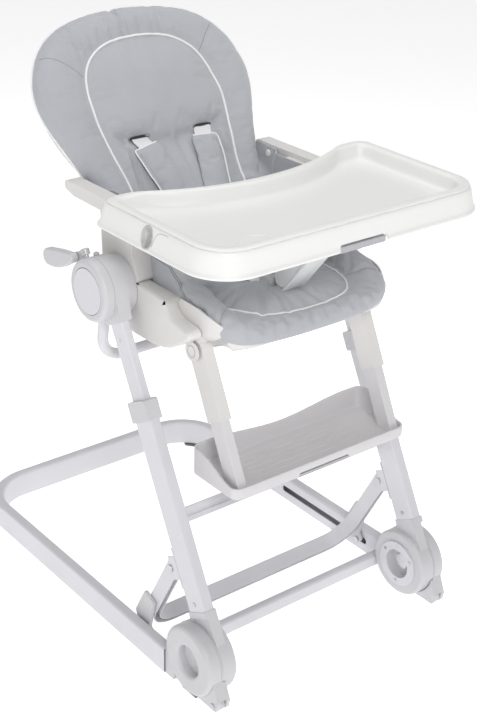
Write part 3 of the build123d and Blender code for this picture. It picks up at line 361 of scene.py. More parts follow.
for finish, nodes in carried.items():
    for node in nodes:
        paint(frame["nodes"][node], finish)
sharp = {
    "coarse": ("leg_collars", "left_hub_socket", "right_hub_socket", "footrest_plate", "footrest_sleeves",
               "left_nose", "right_nose", "brace_corners", "harness_buckle"),
    "round": ("left_armrest", "right_armrest"),
    "fine": ("brace_brackets", "leg_crossbar", "footrest_stays", "footrest_lever", "left_hinge_housing",
             "right_hinge_housing", "hinge_rings", "hinge_caps", "hub_rings", "back_shell", "recline_handle",
             "tray_lever", "brace_frame"),
    "tiny": ("hub_screws", "leg_bolts", "slider_pins", "hinge_pins", "roller_pins"),
}
for grade, nodes in sharp.items():
    for node in nodes:
        softenEdges(node, edgeRounds[grade])
print("frame finished:", sum(len(nodes) for nodes in carried.values()), "nodes painted")


class Geometry(Nodes):
    # a node tree with named inputs, put on an object as a modifier
    def __init__(self, name, inputs):
        self.group = bpy.data.node_groups.new(name, "GeometryNodeTree")
        super().__init__(self.group)
        self.ids = {}
        sockets = self.group.interface
        sockets.new_socket("Geometry", in_out="INPUT", socket_type="NodeSocketGeometry")
        for label, value in {**inputs, "Finish": None}.items():
            kind = {int: "NodeSocketInt", float: "NodeSocketFloat"}.get(type(value), "NodeSocketMaterial")
            socket = sockets.new_socket(label, in_out="INPUT", socket_type=kind)
            if value is not None:
                socket.default_value = value
            self.ids[label] = socket.identifier
        sockets.new_socket("Geometry", in_out="OUTPUT", socket_type="NodeSocketGeometry")
        self.given = self.nodes.new("NodeGroupInput").outputs
        self.result = self.nodes.new("NodeGroupOutput")

    def close(self, geometry):
        # real geometry with its material, because instances don't travel
        real = self.add("GeometryNodeRealizeInstances", {"Geometry": geometry})
        dressed = self.add("GeometryNodeSetMaterial", {"Geometry": real.outputs[0], "Material": self.given["Finish"]})
        self.join(dressed.outputs[0], self.result.inputs[0])

    def grow(self, made, **values):
        modifier = made.modifiers.new(self.group.name, "NODES")
        modifier.node_group = self.group
        for label, value in values.items():
            modifier[self.ids[label]] = value
        bpy.context.view_layer.update()
        return flatten(made)


def pathCurve(name, points, closed=False):
    data = bpy.data.curves.new(name, "CURVE")
    data.dimensions = "3D"
    spline = data.splines.new("POLY")
    spline.points.add(len(points) - 1)
    for slot, point in zip(spline.points, points):
        slot.co = (*point, 1)
    spline.use_cyclic_u = closed
    made = bpy.data.objects.new(name, data)
    scene.collection.objects.link(made)
    return made


def pipeTree():
    # a round cord along a path
    tree = Geometry("pipeAlongPath", {"Radius": 0.002, "Sides": 10, "Step": 0.004})
    steps = tree.add("GeometryNodeResampleCurve", {"Curve": tree.given["Geometry"], "Length": tree.given["Step"]},
        mode="LENGTH")
    section = tree.add("GeometryNodeCurvePrimitiveCircle",
        {"Resolution": tree.given["Sides"], "Radius": tree.given["Radius"]})
    skin = tree.add("GeometryNodeCurveToMesh", {"Curve": steps.outputs[0], "Profile Curve": section.outputs[0],
        "Fill Caps": True})
    tree.close(skin.outputs[0])
    return tree


def stitchTree():
    # short threads end to end along a path
    tree = Geometry("stitchesAlongPath", {"Pitch": 0.004, "Length": 0.0026, "Thick": 0.0005})
    steps = tree.add("GeometryNodeResampleCurve", {"Curve": tree.given["Geometry"], "Length": tree.given["Pitch"]},
        mode="LENGTH")
    aim = tree.add("FunctionNodeAlignRotationToVector", {"Vector": tree.add("GeometryNodeInputTangent").outputs[0]},
        axis="Z")
    thread = tree.add("GeometryNodeMeshCylinder", {"Vertices": 6, "Side Segments": 1, "Radius": tree.given["Thick"],
        "Depth": tree.given["Length"]})
    placed = tree.add("GeometryNodeInstanceOnPoints", {"Points": steps.outputs[0], "Instance": thread.outputs["Mesh"],
        "Rotation": aim.outputs[0]})
    tree.close(placed.outputs[0])
    return tree


def ribTree():
    # the same rib again and again towards +Y
    tree = Geometry("ribsInARow", {"Count": 6, "Pitch": 0.0145})
    offset = tree.add("ShaderNodeCombineXYZ", {"Y": tree.given["Pitch"]}).outputs[0]
    row = tree.add("GeometryNodeMeshLine", {"Count": tree.given["Count"], "Offset": offset})
    placed = tree.add("GeometryNodeInstanceOnPoints", {"Points": row.outputs[0], "Instance": tree.given["Geometry"]})
    tree.close(placed.outputs[0])
    return tree


pipeNodes, stitchNodes, ribNodes = pipeTree(), stitchTree(), ribTree()


def pipeAlong(name, points, radius, finish, closed=False, sides=10, step=0.004):
    made = pipeNodes.grow(pathCurve(name, points, closed), Radius=radius, Sides=sides, Step=step,
        Finish=finishes[finish])
    made.data.shade_smooth()
    return made


def seamAlong(name, points, closed=False, step=0.004, finish="bindingGrey"):
    # a fine dark line, 1.2 mm wide
    return pipeAlong(name, points, 0.0006, finish, closed, 6, step)


def stitchAlong(name, points, finish, pitch=0.0042, length=0.0028, thick=0.00045):
    return stitchNodes.grow(pathCurve(name, points), Pitch=pitch, Length=length, Thick=thick, Finish=finishes[finish])


def nearest(points, line):
    # distance from each point to the line's own points, a few thousand at a time
    out, batch = np.empty(len(points)), 4000
    for start in range(0, len(points), batch):
        part = points[start:start + batch, None, :] - line[None, :, :]
        out[start:start + batch] = np.sqrt((part ** 2).sum(2)).min(1)
    return out


def ringSolid(name, front, back):
    # a closed solid from rings that run from the rim to a middle line, in front and behind
    rings = [*front[::-1], *back]
    faces = joinedRings(len(rings), len(rings[0]))
    return outward(addMesh(name, np.concatenate(rings), faces), 1e-4, filled=True)


def remeshed(made, voxel):
    return flatten(modified(made, "even", "REMESH", mode="VOXEL", voxel_size=voxel, use_smooth_shade=True))


def pointsOf(made):
    flat = np.zeros(len(made.data.vertices) * 3)
    made.data.vertices.foreach_get("co", flat)
    return flat.reshape(-1, 3)


def setPoints(made, points):
    made.data.vertices.foreach_set("co", np.asarray(points, float).ravel())
    made.data.update()


def inflate(made, held, cap, pressure=4.0, slack=0.0, frames=20):
    # air under the cover: the held points are where it is sewn down
    before = pointsOf(made)
    group = made.vertex_groups.new(name="held")
    for weight in np.unique(held.round(2)):
        if weight > 0:
            group.add(np.flatnonzero(held.round(2) == weight).tolist(), float(weight), "REPLACE")
    cloth = made.modifiers.new("cloth", "CLOTH")
    for key, value in (("quality", 4), ("mass", 0.3), ("use_pressure", True), ("uniform_pressure_force", pressure),
            ("shrink_min", -slack), ("shrink_max", -slack), ("vertex_group_mass", "held")):
        setattr(cloth.settings, key, value)
    cloth.settings.effector_weights.gravity = 0.0
    cloth.collision_settings.use_collision = False
    cloth.point_cache.frame_start = 1
    cloth.point_cache.frame_end = frames
    for number in range(1, frames + 1):
        scene.frame_set(number)
    depsgraph = bpy.context.evaluated_depsgraph_get()
    moved = pointsOf(made.evaluated_get(depsgraph)) - before
    far = np.linalg.norm(moved, axis=1)
    share = np.where(far > cap, cap / np.maximum(far, 1e-9), 1.0)
    made.modifiers.clear()
    made.vertex_groups.clear()
    setPoints(made, before + moved * share[:, None])
    scene.frame_set(1)
    print(f"  {made.name}: moved up to {far.max() * 1000:.1f} mm, {(far > cap).mean():.2f} of it capped")
    return made


def refine(made):
    return flatten(modified(made, "fine", "SUBSURF", levels=1, render_levels=1))


def skinTree(made):
    shape = bmesh.new()
    shape.from_mesh(made.data)
    tree = BVHTree.FromBMesh(shape)
    shape.free()
    return tree


# a ray starts this far short of its target, and runs this far
rayBack, rayLong = 0.12, 0.3


def ontoSkin(made, points, aim, lift):
    # points dropped along aim onto a piece's skin, then lifted back a little
    tree = skinTree(made)
    aim = Vector(aim).normalized()
    landed = []
    for point in points:
        hit = tree.ray_cast(Vector(point) - aim * rayBack, aim, rayLong)[0]
        if hit is None:
            hit = tree.find_nearest(Vector(point))[0]
        landed.append(hit - aim * lift)
    return landed


def fasten(body, slot, *pieces):
    # pieces that move with one body
    for piece in pieces:
        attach(piece, body)


reclineAxis = middleOf("recline_shaft")
backrest = {
    "foot": (reclineAxis.y + 0.060, reclineAxis.z + 0.128), "thick": 0.0455,
    "edge": ((0.176, -0.118), (0.177, -0.06), (0.178, -0.01), (0.200, 0.072), (0.236, 0.196), (0.207, 0.288),
             (0.133, 0.343), (0.0, 0.362)),
    "seam": ((0.128, -0.116), (0.125, -0.05), (0.126, 0.02), (0.137, 0.085), (0.145, 0.165), (0.128, 0.243),
             (0.078, 0.286), (0.0, 0.298)),
    "frontRound": 0.026, "backRound": 0.017, "voxel": 0.005, "cap": 0.010, "slotUp": 0.100, "slotX": 0.072,
    "slotBow": 0.010, "piping": 0.0022, "trim": 0.0019,
}


def onBack(across, up, proud):
    # a point by its place on the backrest's face
    across, up, proud = np.broadcast_arrays(np.asarray(across, float), up, proud)
    return np.stack([across, backrest["foot"][0] + up * math.sin(padLean) - proud * math.cos(padLean),
        backrest["foot"][1] + up * math.cos(padLean) + proud * math.sin(padLean)], axis=-1)


def offBack(points):
    # across, up and proud of points in space
    y, z = points[:, 1] - backrest["foot"][0], points[:, 2] - backrest["foot"][1]
    return points[:, 0], y * math.sin(padLean) + z * math.cos(padLean), z * math.sin(padLean) - y * math.cos(padLean)


backNormal = Vector((0, -math.cos(padLean), math.sin(padLean)))
# folds across the top band: place, width and depth
bandFolds = ((-0.152, 0.007, 0.0034), (-0.134, 0.005, 0.0040), (-0.118, 0.006, 0.0020), (-0.098, 0.007, 0.0030),
    (-0.072, 0.006, 0.0016), (-0.047, 0.006, 0.0034), (-0.022, 0.0045, 0.0050), (-0.008, 0.005, 0.0026),
    (0.018, 0.007, 0.0030), (0.044, 0.006, 0.0018), (0.062, 0.006, 0.0028), (0.096, 0.007, 0.0014))
# tucks round each strap slot: start, direction, length, depth and width
backTucks = ((0.096, 0.100, 0.85, 0.55, 0.042, 0.0034, 0.0045), (0.098, 0.094, 1.0, -0.10, 0.030, 0.0024, 0.004),
    (0.092, 0.108, 0.45, 0.90, 0.055, 0.0026, 0.006), (0.046, 0.104, -0.5, 0.85, 0.050, 0.0022, 0.006),
    (0.100, 0.088, 0.7, -0.7, 0.030, 0.0022, 0.004))


def mirroredLine(half, count, closed):
    # from the bottom left, over the top, to the bottom right
    line = [*[(-x, s) for x, s in half], *[(x, s) for x, s in half[-2::-1]]]
    return smoothLoop(line, count, closed)


def roundedEdge(depth, radius):
    # how far a quarter-round edge has still to rise at this depth in from the rim
    share = np.clip(depth / radius, 0, 1)
    return radius * (1 - np.sqrt(np.clip(1 - (1 - share) ** 2, 0, 1)))


def bump(distance, width):
    return np.exp(-(distance / width) ** 2)


def insideSeam(u, s, seam):
    half = seam[:len(seam) // 2]
    return np.abs(u) < np.interp(s, half[:, 1], np.abs(half[:, 0]), right=0.0)


def backFace(u, s, edge, seam):
    # height of the pad's front: a puffed band, a valley under the piping, a crowned panel and its tucks
    flat = np.stack([u, s], axis=1)
    rim, sewn = nearest(flat, edge), nearest(flat, seam)
    inside = insideSeam(u, s, seam)
    high = -roundedEdge(rim, backrest["frontRound"])
    high += np.where(inside, 0.006 * smoothStep(sewn / 0.07), 0.002 * smoothStep(sewn / 0.03))
    high -= 0.006 * bump(sewn, 0.008)
    slotUp, slotX = backrest["slotUp"], backrest["slotX"]
    over = s - slotUp + backrest["slotBow"] * np.cos(u / slotX * math.pi / 2)
    tuck = np.abs(over)
    fade = smoothStep((0.130 - np.abs(u)) / 0.03)
    high += np.where(inside, 0.009 * smoothStep(over / 0.016) * np.exp(-np.clip(over, 0, 1) / 0.07) * fade, 0)
    high -= np.where(inside, (0.005 * bump(tuck, 0.008) + 0.004 * smoothStep((0.002 - over) / 0.006)) * fade, 0)
    return high


def backFolds(u, s, edge, seam):
    # depth of the folds and tucks that stay in the cover once it is filled
    flat = np.stack([u, s], axis=1)
    rim = nearest(flat, edge)
    inside = insideSeam(u, s, seam)
    slotUp, slotX = backrest["slotUp"], backrest["slotX"]
    deep = np.zeros(len(u))
    for side in (-1, 1):
        deep += 0.006 * bump(np.hypot((u - side * slotX) / 1.9, s - slotUp), 0.011)
        for x, y, runX, runY, long, drop, wide in backTucks:
            run = np.hypot(runX, runY)
            along = ((u - side * x) * side * runX + (s - y) * runY) / run
            off = np.abs(-(u - side * x) * side * runY + (s - y) * runX) / run
            deep += drop * bump(off, wide) * smoothStep(along / 0.008) * smoothStep((long - along) / (long * 0.7))
        pleat = side * (0.099 + 0.05 * (slotUp - s))
        deep += 0.0055 * bump(u - pleat, 0.0045) * smoothStep((slotUp - 0.006 - s) / 0.02)
        deep -= 0.0030 * bump(u - pleat - side * 0.010, 0.007) * smoothStep((slotUp - 0.006 - s) / 0.02)
        inner = side * (0.030 + 0.03 * (slotUp - s))
        deep += 0.0030 * bump(u - inner, 0.006) * smoothStep((slotUp - 0.012 - s) / 0.02)
    band = smoothStep((s - 0.235) / 0.05) * np.where(inside, 0.0, 1.0) * smoothStep(rim / 0.012)
    for place, wide, drop in bandFolds:
        deep += drop * bump(u - place - (s - 0.30) * place * 0.9, wide) * band
    deep += 0.0045 * bump(np.hypot(u + 0.026, (s - 0.352) / 1.6), 0.008)
    corner = smoothStep((0.03 - s) / 0.08) * smoothStep((np.abs(u) - 0.10) / 0.03)
    deep += corner * 0.0022 * np.sin(s * 210 + np.abs(u) * 60)
    panel = np.where(inside, smoothStep((s - slotUp - 0.03) / 0.05), 0)
    for place, wide, drop in ((-0.035, 0.012, 0.0012), (0.028, 0.015, 0.0012), (-0.085, 0.012, 0.0010)):
        deep += drop * bump(u - place - (s - 0.2) * 0.12, wide) * panel
    return deep


def pressIn(made, deep):
    # the skin is moved in along its own normals
    normals = np.zeros(len(made.data.vertices) * 3)
    made.data.vertices.foreach_get("normal", normals)
    setPoints(made, pointsOf(made) - normals.reshape(-1, 3) * np.asarray(deep)[:, None])


def bandSeams():
    # the two short seams that cross the outer band
    return (((-0.210, 0.284), (-0.176, 0.268), (-0.139, 0.234)), ((0.188, 0.308), (0.158, 0.280), (0.131, 0.248)))


def heldDown(flat, lines, width):
    # how firmly each point is sewn down: fully on the first line, a little less on the others
    held = bump(nearest(flat, lines[0]), width)
    for line, wide in lines[1:]:
        held = np.maximum(held, 0.9 * bump(nearest(flat, line), wide))
    return held


def makeBackPad():
    edge = mirroredLine(backrest["edge"], 220, True)
    seam = mirroredLine(backrest["seam"], 240, False)
    spine = np.stack([np.zeros(len(edge)), np.clip(edge[:, 1], -0.05, 0.20)], axis=1)
    shares = np.array([0, 0.004, 0.012, 0.028, 0.05, 0.08, 0.11, 0.15, 0.2, 0.26, 0.33, 0.41, 0.5, 0.6, 0.7, 0.8, 0.9,
        1])
    front, back = [], []
    for share in shares:
        flat = edge * (1 - share) + spine * share
        u, s = flat[:, 0], flat[:, 1]
        front.append(onBack(u, s, backFace(u, s, edge, seam)))
        depth = nearest(flat, edge)
        back.append(onBack(u, s, -backrest["thick"] + roundedEdge(depth, backrest["backRound"])))
    pad = remeshed(ringSolid("backPad", front, back), backrest["voxel"])
    u, s, proud = offBack(pointsOf(pad))
    flat = np.stack([u, s], axis=1)
    crease = np.stack([np.linspace(-0.12, 0.12, 80), np.full(80, backrest["slotUp"])], axis=1)
    crease[:, 1] -= backrest["slotBow"] * np.cos(crease[:, 0] / backrest["slotX"] * math.pi / 2)
    held = heldDown(flat, [seam, (crease, 0.007), *((evenly(line, 30), 0.005) for line in bandSeams())], 0.007)
    held = np.where(held > 0.4, held, 0)
    held = np.maximum(held, smoothStep((-0.024 - proud) / 0.006))
    pad = refine(inflate(pad, held, backrest["cap"], pressure=4.0, slack=0.010))
    u, s, proud = offBack(pointsOf(pad))
    pressIn(pad, backFolds(u, s, edge, seam) * smoothStep((proud + 0.034) / 0.010))
    paint(pad, "padCloth")
    down = -backNormal
    path = ontoSkin(pad, onBack(seam[:, 0], seam[:, 1], 0.0), down, backrest["piping"] * 0.35)
    piping = pipeAlong("backPiping", path, backrest["piping"], "pipingWhite")
    rimLine = mirroredLine(backrest["edge"], 260, False)
    trim = pipeAlong("backTrim", onBack(rimLine[:, 0], rimLine[:, 1], -backrest["thick"] + 0.012).tolist(),
        backrest["trim"], "pipingWhite")
    seams = []
    for number, line in enumerate(bandSeams()):
        sewn = evenly(smoothLoop(line, 40, False), 40)
        path = ontoSkin(pad, onBack(sewn[:, 0], sewn[:, 1], 0.0), down, -0.0002)
        seams.append(seamAlong(f"bandSeam{number + 1}", path))
    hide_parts("back_pad")
    fasten("backrest", "seat_fabric", pad, piping, trim, *seams)
    return pad


backPad = makeBackPad()
print("back pad made")


trayLow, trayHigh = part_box("tray_body")
tray = {
    "half": trayHigh.x, "front": trayLow.y, "rear": trayHigh.y, "top": trayHigh.z,
    "bow": 0.062, "corner": 0.078, "heel": 0.026, "shoulder": 0.060,
    # how far in from the rim, and how far below the top, in millimetres
    "bodyProfile": ((22, -30), (12, -30), (7.5, -30), (6.6, -30.8), (6.2, -33), (5.6, -39), (4.6, -41.8), (3.0, -43),
                    (1.4, -42.8), (0.4, -41.8), (0.0, -40.4), (0.3, -38.8), (1.4, -37.4), (2.8, -35.8), (3.9, -33),
                    (5.2, -27), (7.0, -19), (8.6, -11.5), (9.9, -6.5), (11.0, -3.4), (12.4, -1.2), (14.0, -0.3),
                    (15.2, -0.5), (15.9, -1.2), (16.0, -4), (16.0, -24.5), (17, -25.6), (22, -25.7)),
    "insertProfile": ((22, -25.1), (17.2, -25.1), (16.4, -24.4), (16.3, -22), (16.3, -1.2), (15.6, -0.2), (14.0, 0.0),
                      (13.3, 0.6), (13.3, 1.6), (14.3, 2.6), (17, 3.4), (21, 3.7), (26, 3.4), (30, 2.4), (32.8, 0.6),
                      (34.6, -2.2), (36.0, -7), (37.6, -13), (39.6, -17.6), (42.6, -20.7), (47, -22.4), (54, -23.0),
                      (66, -23.1)),
    "notch": (0.055, 0.049, 0.0125), "eyeY": -0.2405, "eyeZ": -0.0195, "eyeHalf": (0.0135, 0.0165),
    "cup": (-0.160, -0.358, 0.036), "deep": 0.043,
    "armGap": 0.0185, "armGapHigh": 0.013, "hookThick": 0.0005, "guideX": (0.0015, 0.006), "guideRound": 0.0012,
    "pegAt": (0.110, -0.145), "pegOval": 1.15, "cupDrop": 0.0240, "cupTurn": (0.15, 2.95), "cupThick": 0.0016,
    "guide": ((0.030, 0.0135), (0.030, -0.006), (0.034, -0.015), (0.042, -0.021), (0.086, -0.021), (0.094, -0.015),
              (0.106, -0.004), (0.124, 0.001), (0.130, 0.0135)),
    "peg": ((0.016, 0.0135), (0.015, -0.03), (0.014, -0.085), (0.0135, -0.108), (0.0120, -0.1145), (0.0095, -0.118),
            (0.004, -0.1195)),
    "hook": ((0.0152, -0.030), (0.019, -0.018), (0.024, -0.009), (0.034, -0.0045), (0.052, -0.0035)),
    # the eye's rings: how large, and how far out of the wall
    "eye": ((1.12, 0.0002), (1.08, 0.0012), (1.0, 0.0013), (0.93, 0.0008), (0.90, -0.0006), (0.86, -0.0026),
            (0.74, -0.0034), (0.45, -0.0040), (0.1, -0.0042)),
}


def trayLoop(inset, drop):
    # the tray's plan as one even loop: straight sides, round corners and a hollow rear edge
    half, front, rear = tray["half"] - inset, tray["front"] + inset, tray["rear"] - inset
    corner, heel = max(tray["corner"] - inset, 0.02), max(tray["heel"] - inset * 0.3, 0.012)
    wide = half - tray["shoulder"]
    radius = (wide ** 2 + tray["bow"] ** 2) / (2 * tray["bow"])
    side = [(half, y) for y in np.linspace(front + corner, rear - heel, 22)[:-1]]
    heelArc = [(half - heel + heel * math.cos(a), rear - heel + heel * math.sin(a))
        for a in np.linspace(0, math.pi / 2, 10)[:-1]]
    across = np.linspace(half - heel, 0, 60)
    hollow = np.where(across < wide, tray["bow"] - radius + np.sqrt(np.clip(radius ** 2 - across ** 2, 0, None)), 0)
    soft = np.exp(-np.linspace(-2, 2, 13) ** 2)
    padded = np.pad(hollow, 6, mode="reflect", reflect_type="even")
    hollow = np.convolve(padded, soft / soft.sum(), "valid")
    back = list(zip(across, rear - hollow))
    frontArc = [(half - corner + corner * math.sin(a), front + corner - corner * math.cos(a))
        for a in np.linspace(0, math.pi / 2, 18)[:-1]]
    middle = [(x, front) for x in np.linspace(0, half - corner, 16)[:-1]]
    right = [*middle, *frontArc, *side, *heelArc, *back]
    left = [(-x, y) for x, y in right[-2:0:-1]]
    return [(x, y, tray["top"] + drop) for x, y in right + left]


def lofted(name, loops):
    # neighbouring loops are joined, and the first and last are closed
    count = len(loops[0])
    faces = joinedRings(len(loops), count)
    faces.append(tuple(range(count))[::-1])
    faces.append(tuple((len(loops) - 1) * count + i for i in range(count)))
    return outward(addMesh(name, [p for loop in loops for p in loop], faces))


def prism(name, outline, axis, start, end):
    # a flat outline pushed along one axis
    order = {"x": lambda a, b, c: (c, a, b), "y": lambda a, b, c: (a, c, b)}[axis]
    loops = [[order(a, b, c) for a, b in outline] for c in (start, end)]
    return lofted(name, loops)


def cutBy(made, cutters):
    # each cutter is taken out of the piece, then goes
    for cutter in cutters:
        flatten(modified(made, "cut", "BOOLEAN", operation="DIFFERENCE", solver="EXACT", object=cutter))
        bpy.data.objects.remove(cutter)
    return made


def crisp(made, angle=32):
    made.data.shade_smooth()
    made.data.set_sharp_from_angle(angle=math.radians(angle))
    return made


def beveled(made, width, segments=2, angle=38):
    return crisp(flatten(modified(made, "round", "BEVEL", width=width, segments=segments, limit_method="ANGLE",
        angle_limit=math.radians(angle))))


def ovalLoop(across, up, count=40, powers=(0.8, 0.9)):
    # an upright oval with straight flanks
    line = []
    for k in range(count):
        a = 2 * math.pi * k / count
        c, s = math.cos(a), math.sin(a)
        line.append((across * math.copysign(abs(c) ** powers[0], c), up * math.copysign(abs(s) ** powers[1], s)))
    return line


def wallInset(drop):
    # how far the tray's outer wall stands in at this height
    wall = tray["bodyProfile"][10:23]
    return np.interp(drop * 1000, [d for _, d in wall], [i for i, _ in wall]) / 1000


def makeTray():
    body = lofted("trayBody", [trayLoop(inset / 1000, drop / 1000) for inset, drop in tray["bodyProfile"]])
    wide, narrow, deep = tray["notch"]
    low = tray["top"] - tray["deep"]
    notch = prism("notch", ((-wide, low - 0.02), (wide, low - 0.02), (wide, low + 0.001), (narrow, low + deep),
        (-narrow, low + deep), (-wide, low + 0.001)), "y", tray["front"] - 0.03, tray["front"] + 0.030)
    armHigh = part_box("left_armrest")[1]
    middle, halfArm = armHigh.x - 0.015, tray["armGap"]
    cutters = [notch]
    for side, _ in sides:
        cutters.append(prism("armGap", ((side * middle - halfArm, low - 0.02), (side * middle + halfArm, low - 0.02),
            (side * middle + halfArm, low + tray["armGapHigh"]), (side * middle - halfArm, low + tray["armGapHigh"])),
            "y", tray["rear"] - 0.06, tray["rear"] + 0.02))
        oval = [(tray["eyeY"] + a, tray["top"] + tray["eyeZ"] + b) for a, b in ovalLoop(*tray["eyeHalf"])]
        cutters.append(prism("eyeCut", oval, "x", side * (tray["half"] - 0.0145), side * (tray["half"] + 0.01)))
    crisp(cutBy(body, cutters))
    insert = crisp(lofted("trayInsert", [trayLoop(inset / 1000, drop / 1000)
        for inset, drop in tray["insertProfile"]]))
    paint(body, "trayGloss")
    paint(insert, "trayGloss")
    pieces = [body]
    for side, word in sides:
        loops = [[(side * (tray["half"] - wallInset(tray["eyeZ"] + b * share) + out), tray["eyeY"] + a * share,
            tray["top"] + tray["eyeZ"] + b * share) for a, b in ovalLoop(*tray["eyeHalf"])]
            for share, out in tray["eye"]]
        eye = lofted(f"trayEye{word}", loops)
        paint(eye, "knobSilver")
        line = smoothLoop([(tray["eyeY"] - ahead, drop) for ahead, drop in tray["hook"]], 40, False)
        hook = pipeAlong(f"trayHook{word}", [(side * (tray["half"] - wallInset(d) + 0.0001), y, tray["top"] + d)
            for y, d in line], tray["hookThick"], "leverGrey", sides=6, step=0.002)
        outline = [(tray["rear"] - back, low + up) for back, up in tray["guide"]]
        plate = prism(f"trayGuide{word}", outline, "x", *(side * (armHigh.x + out) for out in tray["guideX"]))
        beveled(plate, tray["guideRound"])
        pegX, pegY = side * tray["pegAt"][0], tray["pegAt"][1]
        rings = [[(pegX + r * tray["pegOval"] * math.cos(a), pegY + r * math.sin(a), low + up) for a in roundTurn(28)]
            for r, up in tray["peg"]]
        peg = lofted(f"trayPeg{word}", rings)
        for piece in (plate, peg):
            paint(piece, "trayUnder")
        pieces += [eye, hook, plate, peg]
    x, y, r = tray["cup"]
    path = [(x + r * math.cos(a), y + r * math.sin(a), tray["top"] - tray["cupDrop"])
        for a in np.linspace(*tray["cupTurn"], 40)]
    ridge = pipeAlong("cupRidge", path, tray["cupThick"], "trayGloss")
    fasten("tray", "tray_white", *pieces)
    fasten("tray_insert", "tray_white", insert, ridge)
    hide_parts("tray_body")
    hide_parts("tray_insert")


makeTray()
print("tray made")


shellPlace = {"half": 0.197, "rear": -0.071, "front": -0.322, "corner": 0.070, "wall": 0.003, "lift": 0.024,
    "liftFrom": (0.143, -0.232, -0.305, 0.012), "rim": ((-0.322, 0.655), (-0.310, 0.667), (-0.292, 0.680),
    (-0.270, 0.691), (-0.245, 0.697), (-0.150, 0.700), (-0.071, 0.700)),
    "floor": ((-0.322, 0.634), (-0.300, 0.626), (-0.250, 0.612), (-0.180, 0.604), (-0.071, 0.602))}
sidePanel = {"inner": 0.1975, "outer": 0.2245, "round": 0.006,
    "outline": ((0.006, 0.699), (0.003, 0.640), (-0.028, 0.611), (-0.079, 0.602), (-0.116, 0.602), (-0.153, 0.603),
    (-0.188, 0.611), (-0.223, 0.629), (-0.246, 0.646), (-0.252, 0.655), (-0.246, 0.663), (-0.226, 0.666),
    (-0.206, 0.669), (-0.192, 0.677), (-0.182, 0.689), (-0.177, 0.699))}
crotchPost = {"side": ((-0.212, 0.8375), (-0.219, 0.760), (-0.224, 0.702), (-0.230, 0.692), (-0.246, 0.691),
    (-0.256, 0.697), (-0.292, 0.742), (-0.328, 0.787), (-0.368, 0.8375)), "half": 0.019, "flange": 0.023,
    "flangeThick": 0.005}


def insetLoop(loop, depth):
    # a flat loop drawn smaller by depth, whichever way round it runs
    loop = np.array(loop, float)
    ahead = np.roll(loop, -1, axis=0) - np.roll(loop, 1, axis=0)
    ahead /= np.linalg.norm(ahead, axis=1)[:, None]
    area = (loop[:, 0] * np.roll(loop[:, 1], -1) - loop[:, 1] * np.roll(loop[:, 0], -1)).sum()
    inward = np.stack([-ahead[:, 1], ahead[:, 0]], axis=1) * math.copysign(1, area)
    return loop + inward * depth


def cappedPlate(name, outline, near, far, radius):
    # a plate across x whose far edge is rounded over
    loop = smoothLoop(outline, 150)
    loops = [[(near, y, z) for y, z in loop]]
    for a in np.linspace(0, math.pi / 2, 7):
        level = far - math.copysign(radius * (1 - math.sin(a)), far - near)
        loops.append([(level, y, z) for y, z in insetLoop(loop, radius * (1 - math.cos(a)))])
    return crisp(lofted(name, loops), 45)


def tubFloor(x, y):
    # the tub's underside, lifted at both sides where the footrest's stays swing up
    inner, rear, front, soft = shellPlace["liftFrom"]
    lift = shellPlace["lift"] * smoothStep((np.abs(x) - inner) / soft)
    lift = lift * smoothStep((rear - y) / soft) * smoothStep((y - front) / soft)
    return np.interp(y, *zip(*shellPlace["floor"])) + lift


def makeSeatShell():
    half, front, rear, corner = (shellPlace[key] for key in ("half", "front", "rear", "corner"))
    edge = [(half - 0.012, rear), (half, rear - 0.012), (half, front + corner)]
    edge += [(half - corner + corner * math.cos(a), front + corner - corner * math.sin(a))
        for a in np.linspace(0, math.pi / 2, 14)]
    edge += [(0.06, front - 0.001), (0.0, front - 0.002)]
    loop = evenly([*edge, *[(-x, y) for x, y in edge[-2::-1]], edge[0]], 220)
    rim = np.interp(loop[:, 1], *zip(*shellPlace["rim"]))
    low = tubFloor(loop[:, 0], loop[:, 1])
    rings = []
    for drop, inset in ((0, 0), (0.1, 0), (0.3, 0), (0.5, 0.0005), (0.66, 0.0015), (0.78, 0.004), (0.88, 0.009),
            (0.95, 0.016), (0.99, 0.026), (1.0, 0.040)):
        flat = insetLoop(loop, inset)
        rings.append(np.column_stack([flat, rim + (low - rim) * drop]))
    middle = np.column_stack([np.clip(loop[:, 0], -0.1, 0.1) * 0.9, np.clip(loop[:, 1], -0.25, -0.13)])
    for share in (0.3, 0.65, 1.0):
        flat = insetLoop(loop, 0.040) * (1 - share) + middle * share
        rings.append(np.column_stack([flat, tubFloor(flat[:, 0], flat[:, 1])]))
    count = len(loop)
    faces = joinedRings(len(rings), count)
    faces.append(tuple((len(rings) - 1) * count + i for i in range(count)))
    tub = outward(addMesh("seatTub", np.concatenate(rings), faces))
    if min(tub.data.polygons, key=lambda face: face.center.z).normal.z > 0:
        tub.data.flip_normals()
    crisp(flatten(modified(tub, "wall", "SOLIDIFY", thickness=shellPlace["wall"], offset=-1.0)), 40)
    paint(tub, "warmShell")
    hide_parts("seat_shell")
    pieces = [tub]
    for side, word in sides:
        panel = cappedPlate(f"sidePanel{word}", sidePanel["outline"], side * sidePanel["inner"],
            side * sidePanel["outer"], sidePanel["round"])
        paint(panel, "warmShell")
        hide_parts(word.lower() + "_side_shell")
        pieces.append(panel)
    fasten("seat_frame", "warm_grey_plastic", *pieces)


